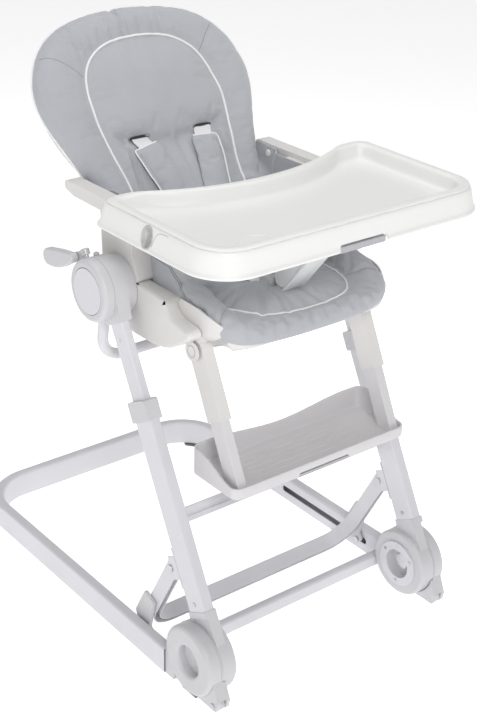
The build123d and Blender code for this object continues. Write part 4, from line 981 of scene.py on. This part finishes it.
def makeCrotchPost():
    half, flange, thick = crotchPost["half"], crotchPost["flange"], crotchPost["flangeThick"]
    fin = prism("crotchPost", crotchPost["side"], "x", -half, half)
    beveled(fin, 0.006, 4, 30)
    front = np.array(crotchPost["side"][4:])
    ahead = np.gradient(front, axis=0)
    ahead /= np.linalg.norm(ahead, axis=1)[:, None]
    out = np.stack([-ahead[:, 1], ahead[:, 0]], axis=1)
    strip = prism("crotchFlange", [*map(tuple, front - out * 0.001), *map(tuple, (front + out * thick)[::-1])], "x",
        -flange, flange)
    beveled(strip, 0.0018, 3, 30)
    for piece in (fin, strip):
        paint(piece, "trayUnder")
    fasten("tray", "warm_grey_plastic", fin, strip)
    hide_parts("crotch_post")


makeSeatShell()
makeCrotchPost()
print("seat shells made")


stepLow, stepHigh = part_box("footrest_plate")
footStep = {"corner": 0.018, "rear": stepHigh.y - 0.014, "high": stepHigh.z - 0.008, "floor": 0.390, "under": 0.3862,
    "lip": 0.4015, "dip": 0.014, "ribs": 6, "ribPitch": 0.0145, "ribHalf": 0.128, "notch": (0.062, 0.0085),
    "foot": 0.3795, "waist": 0.168, "ribAhead": 0.004,
    "outside": ((0.0044, 0.3812), (0.0036, 0.3803), (0.0012, 0.3800), (0.0, 0.3812)),
    "rim": ((0.0, 0.0016), (0.0004, 0.0007), (0.0012, 0.0001), (0.0022, 0.0), (0.0034, 0.0003), (0.0044, 0.0012),
    (0.0048, 0.0022)), "inside": ((0.0056, 0.0048), (0.0068, 0.0022), (0.0090, 0.0006), (0.0120, 0.0)),
    "ribSection": ((-0.0013, -0.0004), (0.0013, -0.0004), (0.0010, 0.0003), (0.0005, 0.0006), (-0.0005, 0.0006),
    (-0.0010, 0.0003)), "ribEnds": ((-1.0, 0.25), (-0.99, 0.8), (-0.975, 1.0), (0.975, 1.0), (0.99, 0.8),
    (1.0, 0.25))}


def stepTop(x, y):
    # the rim's height: low in front, sweeping up the sides, with a slow dip along the rear
    back = smoothStep((y - stepLow.y - 0.012) / (footStep["rear"] - stepLow.y - 0.030))
    dip = footStep["dip"] * (0.5 + 0.5 * math.cos(math.pi * min(abs(x) / footStep["waist"], 1.0))) * back
    return footStep["lip"] + (footStep["high"] - footStep["lip"]) * back - dip


def makeFootStep():
    half, corner = stepHigh.x, footStep["corner"]
    edge = []
    for turn, (x, y) in enumerate(((half, footStep["rear"]), (-half, footStep["rear"]), (-half, stepLow.y),
            (half, stepLow.y))):
        cx, cy = x - math.copysign(corner, x), y - corner * (1 if turn < 2 else -1)
        edge += [(cx + corner * math.cos(a), cy + corner * math.sin(a))
            for a in np.linspace(turn * math.pi / 2, (turn + 1) * math.pi / 2, 12)]
    loop = evenly([*edge, edge[0]], 260)
    rings = []
    for inset, level in ((0.0090, footStep["under"]), (0.0048, footStep["under"]), *footStep["outside"]):
        rings.append([(x, y, level) for x, y in insetLoop(loop, inset)])
    for inset, drop in footStep["rim"]:
        rings.append([(x, y, stepTop(x, y) - drop) for x, y in insetLoop(loop, inset)])
    for inset, level in footStep["inside"]:
        rings.append([(x, y, footStep["floor"] + level) for x, y in insetLoop(loop, inset)])
    plate = lofted("footStep", rings)
    wide, tall = footStep["notch"]
    foot = footStep["foot"]
    outline = ((-wide, foot - 0.0095), (wide, foot - 0.0095), (wide, foot), (wide - 0.005, foot + tall),
        (-wide + 0.005, foot + tall), (-wide, foot))
    notch = prism("stepNotch", outline, "y", stepLow.y - 0.01, stepLow.y + 0.0047)
    crisp(cutBy(plate, [notch]), 34)
    paint(plate, "stepGrey")
    first = (stepLow.y + footStep["rear"]) / 2 - footStep["ribPitch"] * (footStep["ribs"] -
        1) / 2 + footStep["ribAhead"]
    loops = [[(x * footStep["ribHalf"], first + a * size, footStep["floor"] + b * size)
        for a, b in footStep["ribSection"]] for x, size in footStep["ribEnds"]]
    ribs = ribNodes.grow(crisp(lofted("stepRibs", loops)), Count=footStep["ribs"], Pitch=footStep["ribPitch"],
        Finish=finishes["stepGrey"])
    fasten("footrest", "footrest_plastic", plate, ribs)
    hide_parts("footrest_plate")


makeFootStep()
print("footrest made")


def circleAcross(x, y, z, radius, count=64):
    # a circle round the x axis, from straight up and towards the front
    return [(x, y - radius * math.sin(a), z + radius * math.cos(a)) for a in roundTurn(count)]


details = {"hubX": 0.2655, "pivotX": 0.2002, "pivotRadius": 0.0105, "seamX": 0.2725, "seamTurn": (-0.35, 2.05),
    "gapHigh": 0.0019, "gapInner": 0.1975, "gapOuter": 0.2240, "studX": 0.2600, "studY": -0.0290,
    "stud": ((0.0052, 0.734), (0.0052, 0.7425), (0.0048, 0.7437), (0.0035, 0.7446), (0.0012, 0.7449))}


def makeDetails():
    hub, cap, pivot = middleOf("left_hub_cover"), middleOf("hinge_caps"), middleOf("footrest_pins")
    hubRadius = (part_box("left_hub_cover")[1].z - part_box("left_hub_cover")[0].z) / 2
    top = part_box("left_side_shell")[1]
    for side, word in sides:
        ring = circleAcross(side * details["hubX"], hub.y, hub.z, hubRadius + 0.0001)
        fasten("base", "white_plastic", seamAlong(f"hubSeam{word}", ring, True, finish="leverGrey"))
        ring = circleAcross(side * details["pivotX"], pivot.y, pivot.z, details["pivotRadius"], 40)
        fasten("seat_frame", "warm_grey_plastic", seamAlong(f"pivotRing{word}", ring, True, 0.002, "leverGrey"))
        tree = skinTree(frame["nodes"][word.lower() + "_hinge_housing"])
        line = []
        for a in np.linspace(*details["seamTurn"], 60):
            out = Vector((0, -math.sin(a), math.cos(a)))
            start = Vector((side * details["seamX"], cap.y, cap.z)) + out * 0.12
            hit = tree.ray_cast(start, -out, 0.12)[0]
            if hit is not None:
                line.append(tuple(hit + out * 0.0001))
        fasten("upper_frame", "white_plastic", seamAlong(f"housingSeam{word}", line, finish="leverGrey"))
        # painted shade: a dark strip set into the gap between the side panel's top and the pillar, so the gap reads
        # as a dark line
        gapTop = top.z + details["gapHigh"]
        outline = ((top.y - 0.002, top.z), (top.y - 0.002, gapTop), (top.y - 0.110, gapTop), (top.y - 0.110, top.z))
        gap = prism(f"pillarGapShade{word}", outline, "x", side * details["gapInner"], side * details["gapOuter"])
        paint(gap, "paintedSlotShade")
        fasten("seat_frame", "warm_grey_plastic", gap)
        stud = lofted(f"hingeStud{word}", [[(side * details["studX"] + r * math.cos(a),
            details["studY"] + r * math.sin(a), z) for a in roundTurn(24)] for r, z in details["stud"]])
        paint(stud, "knobSilver")
        fasten("upper_frame", "white_plastic", stud)


makeDetails()
print("details made")


shoulderPads = {"Right": ((-0.069, 0.083), (-0.060, 0.040), (-0.049, 0.000), (-0.041, -0.046)),
    "Left": ((0.062, 0.083), (0.058, 0.040), (0.050, 0.000), (0.043, -0.046)), "half": 0.0295, "thick": 0.012,
    "voxel": 0.0035, "cap": 0.004, "endRound": 0.012, "piping": 0.0015, "webHalf": 0.0175, "webThick": 0.0016,
    "slot": (0.0215, 0.0036), "binding": (0.0222, 0.0042)}


def proudAt(tree, u, s):
    # how far the skin stands proud of the backrest's face plane here
    start = Vector(onBack(u, s, 0.08).tolist())
    hit = tree.ray_cast(start, -backNormal, 0.2)[0]
    return -0.006 if hit is None else 0.08 - (start - hit).length


def padSection(half, thick):
    # a flattened oval, almost square at its sides, that stands on its lower side
    return [(a, b + thick / 2) for a, b in ovalLoop(half, thick / 2, 28, (0.55, 0.8))]


def makeShoulderPads():
    skin = skinTree(backPad)
    for outer, word in sides:
        way = smoothLoop(shoulderPads[word], 40, False)
        run = np.concatenate([[0], np.cumsum(np.linalg.norm(np.diff(way, axis=0), axis=1))])
        base = np.array([proudAt(skin, u, s) for u, s in way])
        base = np.convolve(np.pad(base, 5, mode="edge"), np.ones(11) / 11, "valid")
        loops, rims = [], []
        for k, (u, s) in enumerate(way):
            ahead = way[min(k + 1, len(way) - 1)] - way[max(k - 1, 0)]
            across = np.array((-ahead[1], ahead[0])) / np.linalg.norm(ahead)
            end = min(run[k], run[-1] - run[k])
            half = shoulderPads["half"] - roundedEdge(end, shoulderPads["endRound"]) * 0.55
            thick = shoulderPads["thick"] * (0.25 + 0.75 * math.sqrt(min(end / 0.010, 1)))
            thick *= 1 - 0.10 * math.exp(-((run[k] - 0.055) / 0.006) ** 2)
            loops.append([tuple(onBack(u + a * across[0], s + a * across[1], base[k] - 0.001 + b))
                for a, b in padSection(half, thick)])
            rims.append((u, s, across, half, base[k], thick))
        pad = lofted(f"shoulderPad{word}", loops)
        pad = remeshed(pad, shoulderPads["voxel"])
        u, s, proud = offBack(pointsOf(pad))
        low = np.array([proudAt(skin, a, b) for a, b in zip(u, s)])
        held = smoothStep((0.005 - (proud - low)) / 0.003)
        pad = refine(inflate(pad, held, shoulderPads["cap"], pressure=2.5, slack=0.02))
        paint(pad, "padCloth")
        edgeLine = []
        for u, s, across, half, low, thick in rims[::-1][:-2]:
            edgeLine.append(onBack(u + outer * half * across[0], s + outer * half * across[1], low + thick * 0.55))
        u, s, across, half, low, thick = rims[1]
        for share in np.linspace(outer, -outer, 14):
            edgeLine.append(onBack(u + share * half * across[0], s + share * half * across[1] + 0.0015,
                low + thick * 0.60))
        piping = pipeAlong(f"shoulderPiping{word}", smoothLoop(edgeLine[::2], 90, False).tolist(),
            shoulderPads["piping"], "pipingWhite")
        line = [onBack(u + outer * 0.80 * half * across[0], s + outer * 0.80 * half * across[1], low + 0.03)
            for u, s, across, half, low, thick in rims[4:-2]]
        stitches = stitchAlong(f"shoulderStitch{word}1", ontoSkin(pad, line, -backNormal, 0.0001), "bindingGrey",
            thick=0.00035)
        fasten("backrest", "seat_fabric", pad, piping, stitches)
        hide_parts("shoulder_pads")
        makeShoulderWebbing(outer, word, way, base, skin)


def ribbon(name, points, across, half, thick, finish):
    # a flat strap: a thin rounded section carried along a line, wide along across
    across = Vector(across).normalized()
    loops = []
    total = len(points)
    for k, point in enumerate(points):
        ahead = Vector(points[min(k + 1, total - 1)]) - Vector(points[max(k - 1, 0)])
        lift = across.cross(ahead).normalized()
        wide = ahead.cross(lift).normalized()
        loop = []
        for a, b in ((-1, -0.3), (-0.96, -1), (-0.5, -1), (0, -1), (0.5, -1), (0.96, -1), (1, -0.3), (1, 0.3),
                (0.96, 1), (0.5, 1), (0, 1), (-0.5, 1), (-0.96, 1), (-1, 0.3)):
            loop.append(tuple(Vector(point) + wide * (a * half) + lift * (b * thick / 2)))
        loops.append(loop)
    strap = crisp(lofted(name, loops), 50)
    paint(strap, finish)
    return strap


def makeShoulderWebbing(side, word, way, base, skin):
    # out of the slot, over its edge and in under the pad
    slotX, slotUp = side * backrest["slotX"], backrest["slotUp"]
    floorUp = proudAt(skin, slotX, slotUp - 0.012)
    top = way[1]
    line = smoothLoop(((slotX, slotUp + 0.004, floorUp - 0.012), (slotX, slotUp + 0.001, floorUp - 0.001),
        (slotX + (top[0] - slotX) * 0.4, slotUp - 0.008, floorUp + 0.0035),
        (top[0], top[1] + 0.001, base[1] + 0.0045), (way[7][0], way[7][1], base[7] + 0.004)), 26, False)
    strap = ribbon(f"shoulderWebbing{word}", [tuple(onBack(*p)) for p in line], (1, 0, 0), shoulderPads["webHalf"],
        shoulderPads["webThick"], "webbingWhite")
    fasten("backrest", "webbing", strap)
    # painted shade: a dark oval cup sunk into the strap slot, standing in for the shade inside the opening
    dark = []
    for grow, sink in ((1.0, -0.004), (0.86, -0.008)):
        dark.append([tuple(onBack(slotX + a * grow, slotUp + 0.0015 + b * grow, floorUp + 0.0052 + sink))
            for a, b in ovalLoop(*shoulderPads["slot"], 36)])
    holeShade = lofted(f"strapSlotShade{word}", dark)
    paint(holeShade, "paintedSlotShade")
    rim = [onBack(slotX + a, slotUp + 0.0015 + b, 0.05) for a, b in ovalLoop(*shoulderPads["binding"], 60)]
    binding = pipeAlong(f"slotBinding{word}", ontoSkin(backPad, rim, -backNormal, 0.0002), 0.0009, "bindingGrey",
        closed=True, sides=8, step=0.002)
    fasten("backrest", "seat_fabric", holeShade, binding)


makeShoulderPads()
print("shoulder pads made")


seat = {"plan": ((0.0, -0.3415), (0.090, -0.338), (0.150, -0.324), (0.180, -0.299), (0.1880, -0.268),
    (0.1870, -0.240), (0.1865, -0.200), (0.1865, -0.150), (0.1865, -0.100), (0.178, -0.0745), (0.150, -0.072),
    (0.075, -0.072), (0.0, -0.072)), "panel": ((0.0, -0.312), (0.052, -0.308), (0.095, -0.291), (0.126, -0.248),
    (0.136, -0.200), (0.134, -0.150), (0.128, -0.105), (0.122, -0.078)), "top": 0.6845,
    "low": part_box("seat_pad")[0].z, "crest": ((-0.345, 0.0), (-0.300, 0.004), (-0.275, 0.012), (-0.250, 0.022),
    (-0.200, 0.036), (-0.172, 0.058), (-0.150, 0.078), (-0.072, 0.083)), "voxel": 0.005, "cap": 0.008,
    "frontRound": 0.027, "sideRound": 0.017, "backRound": 0.016, "piping": 0.0019,}


def seatTop(x, y, edge, panel):
    # height of the pad's top: side bolsters that rise to the rear, a piped panel and puffs between its tucks
    flat = np.stack([x, y], axis=1)
    rim, sewn = nearest(flat, edge), nearest(flat, panel)
    crest = np.interp(y, *zip(*seat["crest"]))
    front = smoothStep((-0.300 - y) / 0.03)
    edgeRound = seat["frontRound"] * front + seat["sideRound"] * (1 - front)
    rise = crest * smoothStep((np.abs(x) - 0.138) / 0.026)
    reach = np.interp(y, panel[len(panel) // 2:, 1], panel[len(panel) // 2:, 0], left=0.0)
    inside = np.abs(x) < reach
    high = seat["top"] + rise - roundedEdge(rim, edgeRound)
    high -= 0.006 * bump(sewn, 0.008)
    high += np.where(inside, 0.004 * smoothStep(sewn / 0.05) - 0.003, 0.002 * smoothStep(sewn / 0.02))
    return high


# folds of the seat cover: middle, turn, half length, width and depth
seatFolds = (((-0.160, -0.268), 0.52, 0.028, 0.0045, 0.0040), ((0.160, -0.268), -0.52, 0.028, 0.0045, 0.0040),
    ((-0.075, -0.262), 0.9, 0.040, 0.006, 0.0060), ((-0.045, -0.275), 1.35, 0.030, 0.005, 0.0050),
    ((0.010, -0.262), -1.2, 0.036, 0.007, 0.0055), ((0.060, -0.245), -0.75, 0.040, 0.006, 0.0055),
    ((0.100, -0.215), -0.35, 0.032, 0.005, 0.0045), ((-0.105, -0.225), 0.35, 0.034, 0.006, 0.0050),
    ((0.000, -0.180), 0.05, 0.050, 0.009, 0.0060), ((-0.095, -0.180), -0.2, 0.030, 0.006, 0.0040),
    ((0.095, -0.165), 0.25, 0.030, 0.006, 0.0040), ((-0.020, -0.225), 0.5, 0.035, 0.008, 0.0045),
    ((0.160, -0.225), 0.9, 0.024, 0.005, 0.0035), ((-0.160, -0.225), -0.9, 0.024, 0.005, 0.0035),
    ((0.158, -0.180), 1.2, 0.022, 0.005, 0.0035), ((-0.158, -0.180), -1.2, 0.022, 0.005, 0.0035))
rollFolds = ((-0.148, 0.006, 0.0026), (-0.120, 0.007, 0.0030), (-0.098, 0.005, 0.0022), (-0.074, 0.006, 0.0030),
    (-0.045, 0.007, 0.0018), (-0.020, 0.006, 0.0026), (0.014, 0.008, 0.0016), (0.040, 0.006, 0.0026),
    (0.070, 0.006, 0.0020), (0.096, 0.007, 0.0028), (0.122, 0.006, 0.0022), (0.148, 0.006, 0.0020))


def seatDepth(points, edge):
    # folds on the seat, and short upright ones down the front roll
    x, y, z = points.T
    deep = np.zeros(len(x))
    for (cx, cy), turn, long, wide, drop in seatFolds:
        along = (x - cx) * math.cos(turn) + (y - cy) * math.sin(turn)
        off = -(x - cx) * math.sin(turn) + (y - cy) * math.cos(turn)
        deep += drop * (bump(off, wide) - 0.35 * bump(off - 1.7 * wide, wide)) * bump(along, long)
    rim = nearest(points[:, :2], edge)
    roll = smoothStep((-0.290 - y) / 0.02) * smoothStep((0.030 - rim) / 0.02) * smoothStep((z - 0.648) / 0.015)
    for place, wide, drop in rollFolds:
        deep += drop * bump(x - place - (0.684 - z) * place * 1.2, wide) * roll
    return deep * smoothStep((z - 0.655) / 0.02)


def makeSeatPad():
    edge = smoothLoop([*[(-x, y) for x, y in seat["plan"][:0:-1]], *seat["plan"]], 230)
    panel = mirroredLine(seat["panel"][::-1], 220, False)
    spine = np.stack([np.clip(edge[:, 0], -0.06, 0.06), np.clip(edge[:, 1], -0.225, -0.165)], axis=1)
    shares = np.array([0, 0.006, 0.018, 0.035, 0.06, 0.09, 0.12, 0.155, 0.19, 0.225, 0.26, 0.30, 0.35, 0.41, 0.48,
        0.56, 0.66, 0.76, 0.88, 1])
    front, back = [], []
    for share in shares:
        flat = edge * (1 - share) + spine * share
        high = seatTop(flat[:, 0], flat[:, 1], edge, panel)
        front.append(np.column_stack([flat, high]))
        back.append(np.column_stack([flat, seat["low"] + roundedEdge(nearest(flat, edge), seat["backRound"])]))
    pad = remeshed(ringSolid("seatPad", front, back), seat["voxel"])
    points = pointsOf(pad)
    flat = points[:, :2]
    high = seatTop(flat[:, 0], flat[:, 1], edge, panel)
    skin = bump(points[:, 2] - high, 0.015)
    corners = [(evenly(((side * 0.190, -0.285), (side * 0.133, -0.250)), 30), 0.005) for side, _ in sides]
    held = heldDown(flat, [panel, *corners], 0.007) * skin
    held = np.where(held > 0.4, held, 0)
    held = np.maximum(held, smoothStep((seat["low"] + 0.022 - points[:, 2]) / 0.008))
    pad = refine(inflate(pad, held, seat["cap"], pressure=4.0, slack=0.03))
    pressIn(pad, seatDepth(pointsOf(pad), edge))
    paint(pad, "seatCloth")
    down = (0, 0, -1)
    path = ontoSkin(pad, [(x, y, seat["top"]) for x, y in panel], down, 0.0006)
    piping = pipeAlong("seatPiping", path, seat["piping"], "pipingWhite")
    pieces = [pad, piping]
    for side, word in sides:
        line = evenly(((side * 0.1875, -0.288), (side * 0.160, -0.268), (side * 0.133, -0.248)), 24)
        landed = ontoSkin(pad, [(x, y, seat["top"]) for x, y in line], down, -0.0002)
        pieces.append(seamAlong(f"seatSeam{word}", landed, step=0.002))
        ridge = [(side * 0.30, y, seat["top"] + np.interp(y, *zip(*seat["crest"])) - seat["sideRound"])
            for y in np.linspace(-0.282, -0.085, 50)]
        for drop, number in ((0.0, 1), (-0.004, 2)):
            landed = ontoSkin(pad, [(x, y, z + drop) for x, y, z in ridge], (-side, 0, 0), 0.0001)
            pieces.append(seamAlong(f"bolsterSeam{word}{number}", landed, step=0.003))
    fasten("seat_frame", "seat_fabric", *pieces)
    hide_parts("seat_pad")
    return pad


seatPad = makeSeatPad()
print("seat pad made")


webbing = {"half": 0.0125, "thick": 0.0018, "lift": 0.0016, "reach": (0.022, 0.104), "slant": 1.15,
    "crotchHalf": 0.0150, "rear": -0.084}


def makeLapStraps():
    buckle = middleOf("harness_buckle")
    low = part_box("harness_buckle")[0].z
    skin = skinTree(seatPad)

    def onSeat(x, y, lift):
        hit = skin.ray_cast(Vector((x, y, 0.9)), Vector((0, 0, -1)), 0.4)[0]
        return (x, y, max(hit.z + lift, low - 0.002)) if hit else (x, y, low)

    half, thick, lift = webbing["half"], webbing["thick"], webbing["lift"]
    near, far = webbing["reach"]
    pieces = []
    for side, word in sides:
        line = [onSeat(side * x, buckle.y + 0.004 + (x - near) * webbing["slant"], lift)
            for x in np.linspace(near, far, 12)]
        line = smoothLoop(line, 30, False)
        pieces.append(ribbon(f"lapStrap{word}", line.tolist(), (-side * 0.7, 0.7, 0), half, thick, "webbingWhite"))
    line = smoothLoop([onSeat(0, y, lift) for y in np.linspace(buckle.y + 0.018, webbing["rear"], 8)], 24, False)
    pieces.append(ribbon("crotchStrap", line.tolist(), (1, 0, 0), webbing["crotchHalf"], thick, "webbingWhite"))
    fasten("seat_frame", "webbing", *pieces)
    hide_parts("lap_straps")


makeLapStraps()


cover = {"half": 0.168, "seatY": -0.084, "seatZ": 0.689, "backUp": -0.100, "backIn": -0.012, "thick": 0.003,
    "sag": 0.014, "ripple": 0.0012}


def sheetFrom(name, rows, thick, finish):
    # a cloth sheet from rows of points, given its thickness both ways
    faces = joinedRings(len(rows), len(rows[0]), closed=False)
    made = addMesh(name, [p for row in rows for p in row], faces)
    flatten(modified(made, "wall", "SOLIDIFY", thickness=thick, offset=0.0))
    paint(made, finish)
    return made


def makeCover():
    backEnd = onBack(0.0, cover["backUp"], cover["backIn"])
    rows = []
    for t in np.linspace(0, 1, 22):
        row = []
        for x in np.linspace(-cover["half"], cover["half"], 60):
            y = cover["seatY"] + (backEnd[1] - cover["seatY"]) * t
            z = cover["seatZ"] + (backEnd[2] - cover["seatZ"]) * t
            z -= cover["sag"] * math.sin(math.pi * t) + cover["ripple"] * math.sin(x * 190 + 3 * t) * math.sin(math.pi
                * t)
            row.append((x, y, z))
        rows.append(row)
    made = sheetFrom("seatCover", rows, cover["thick"], "seatCloth")
    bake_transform(made)


makeCover()
print("cover made")

armFlap = {"x": 0.2035, "inner": 0.1868, "yRear": 0.106, "yFront": -0.115, "thick": 0.0026, "hem": 0.0018,
    "top": 0.829, "low": 0.755, "snapY": 0.062, "snapZ": 0.818, "snap": 0.0062,
    "lift": {"Right": 0.052, "Left": 0.008}, "belly": 0.006,
    "snapRings": ((1.0, -0.0012), (1.0, 0.0008), (0.93, 0.0016), (0.75, 0.0020), (0.62, 0.0017), (0.50, 0.0017),
    (0.3, 0.0021), (0.08, 0.0022))}


def flapReach(y):
    # out at the armrest behind, in over its inner block in front
    return armFlap["inner"] + (armFlap["x"] - armFlap["inner"]) * float(smoothStep((y - 0.020) / 0.030))


def flapLow(y, word):
    # the lower edge rises to the rear, behind the armrest
    return armFlap["low"] + armFlap["lift"][word] * float(smoothStep((y + 0.04) / 0.07))


def makeArmFlaps():
    for side, word in sides:
        rows = []
        for t in np.linspace(0, 1, 26):
            row = []
            for q in np.linspace(0, 1, 40):
                y = armFlap["yRear"] + (armFlap["yFront"] - armFlap["yRear"]) * q
                z = armFlap["top"] + (flapLow(y, word) - armFlap["top"]) * t - 0.003 * math.sin(math.pi * q)
                belly = armFlap["belly"] * math.sin(math.pi * min(t * 1.2, 1)) + 0.0016 * math.sin(q * 17 + t * 4) * t
                row.append((side * (flapReach(y) - belly * min(1.0, (flapReach(y) - armFlap["inner"]) / 0.010)), y,
                    z))
            rows.append(row)
        made = sheetFrom(f"armFlap{word}", rows, armFlap["thick"], "seatCloth")
        hem = pipeAlong(f"flapHem{word}", [(p[0], p[1], p[2] + 0.0006) for p in rows[0]], armFlap["hem"], "seatCloth",
            sides=8)
        # how far the flap bellies out at the snap
        bellyHere = armFlap["belly"] * math.sin(math.pi * 0.19 * 1.2)
        face = side * (flapReach(armFlap["snapY"]) - bellyHere - 0.0016)
        loops = [[(face - side * lift, armFlap["snapY"] + armFlap["snap"] * r * math.cos(a),
            armFlap["snapZ"] + armFlap["snap"] * r * math.sin(a)) for a in roundTurn(24)]
            for r, lift in armFlap["snapRings"]]
        snap = lofted(f"flapSnap{word}", loops)
        paint(snap, "trayGloss")
        fasten("seat_frame", "seat_fabric", made, hem, snap)


makeArmFlaps()
print("armrest flaps made")


studio = {"floorHalf": 6.0, "key": 54.0, "fill": 6.0, "top": 38.0, "sky": 0.28, "horizon": 0.85, "floorGlow": 0.58}
half = studio["floorHalf"]
floor = addMesh("floor", [(-half, -half, 0), (half, -half, 0), (half, half, 0), (-half, half, 0)], [(0, 1, 2, 3)])
floor.data.materials.append(Finish("paleFloor").shade((0.93, 0.93, 0.93, 1), 0.7, {
    "Specular IOR Level": 0.2, "Emission Color": (1, 1, 1, 1), "Emission Strength": studio["floorGlow"]}))

world = bpy.data.worlds.new("studio")
world.use_nodes = True
# brighter at the horizon than overhead
sky = Nodes(world.node_tree)
height = sky.add("ShaderNodeSeparateXYZ", {0: sky.add("ShaderNodeTexCoord").outputs["Generated"]}).outputs["Z"]
backdrop = sky.nodes["Background"].inputs
sky.join(sky.ranged(height, studio["horizon"], studio["sky"], 0.10, 0.35), backdrop["Strength"])
backdrop["Color"].default_value = (1, 1, 1, 1)
scene.world = world


def placed(name, data, place, look, roll=0.0):
    # a lamp or camera at a place, facing along look
    made = bpy.data.objects.new(name, data)
    made.location = place
    made.rotation_mode = "QUATERNION"
    made.rotation_quaternion = Vector(look).to_track_quat("-Z", "Y") @ Quaternion((0, 0, 1), math.radians(roll))
    scene.collection.objects.link(made)
    return made


def addLight(name, place, aim, size, power):
    data = bpy.data.lights.new(name, "AREA")
    data.size = size
    data.energy = power
    placed(name, data, place, Vector(aim) - Vector(place))


addLight("keyLight", (-1.5, -3.0, 2.7), (0, 0, 0.55), 1.1, studio["key"])
addLight("fillLight", (-3.2, -0.6, 1.6), (0, 0, 0.5), 1.8, studio["fill"])
addLight("topLight", (0.4, 0.6, 3.2), (0, 0, 0.4), 2.4, studio["top"])

shot = {"place": (-1.4702, -1.9319, 1.6464), "look": (0.56309, 0.69837, -0.44183), "roll": 1.505, "lens": 69.2}
cameraData = bpy.data.cameras.new("camera")
cameraData.lens = shot["lens"]
cameraData.sensor_width = 36.0
scene.camera = placed("camera", cameraData, shot["place"], shot["look"], shot["roll"])
scene.view_settings.view_transform = "Standard"
print("studio ready")
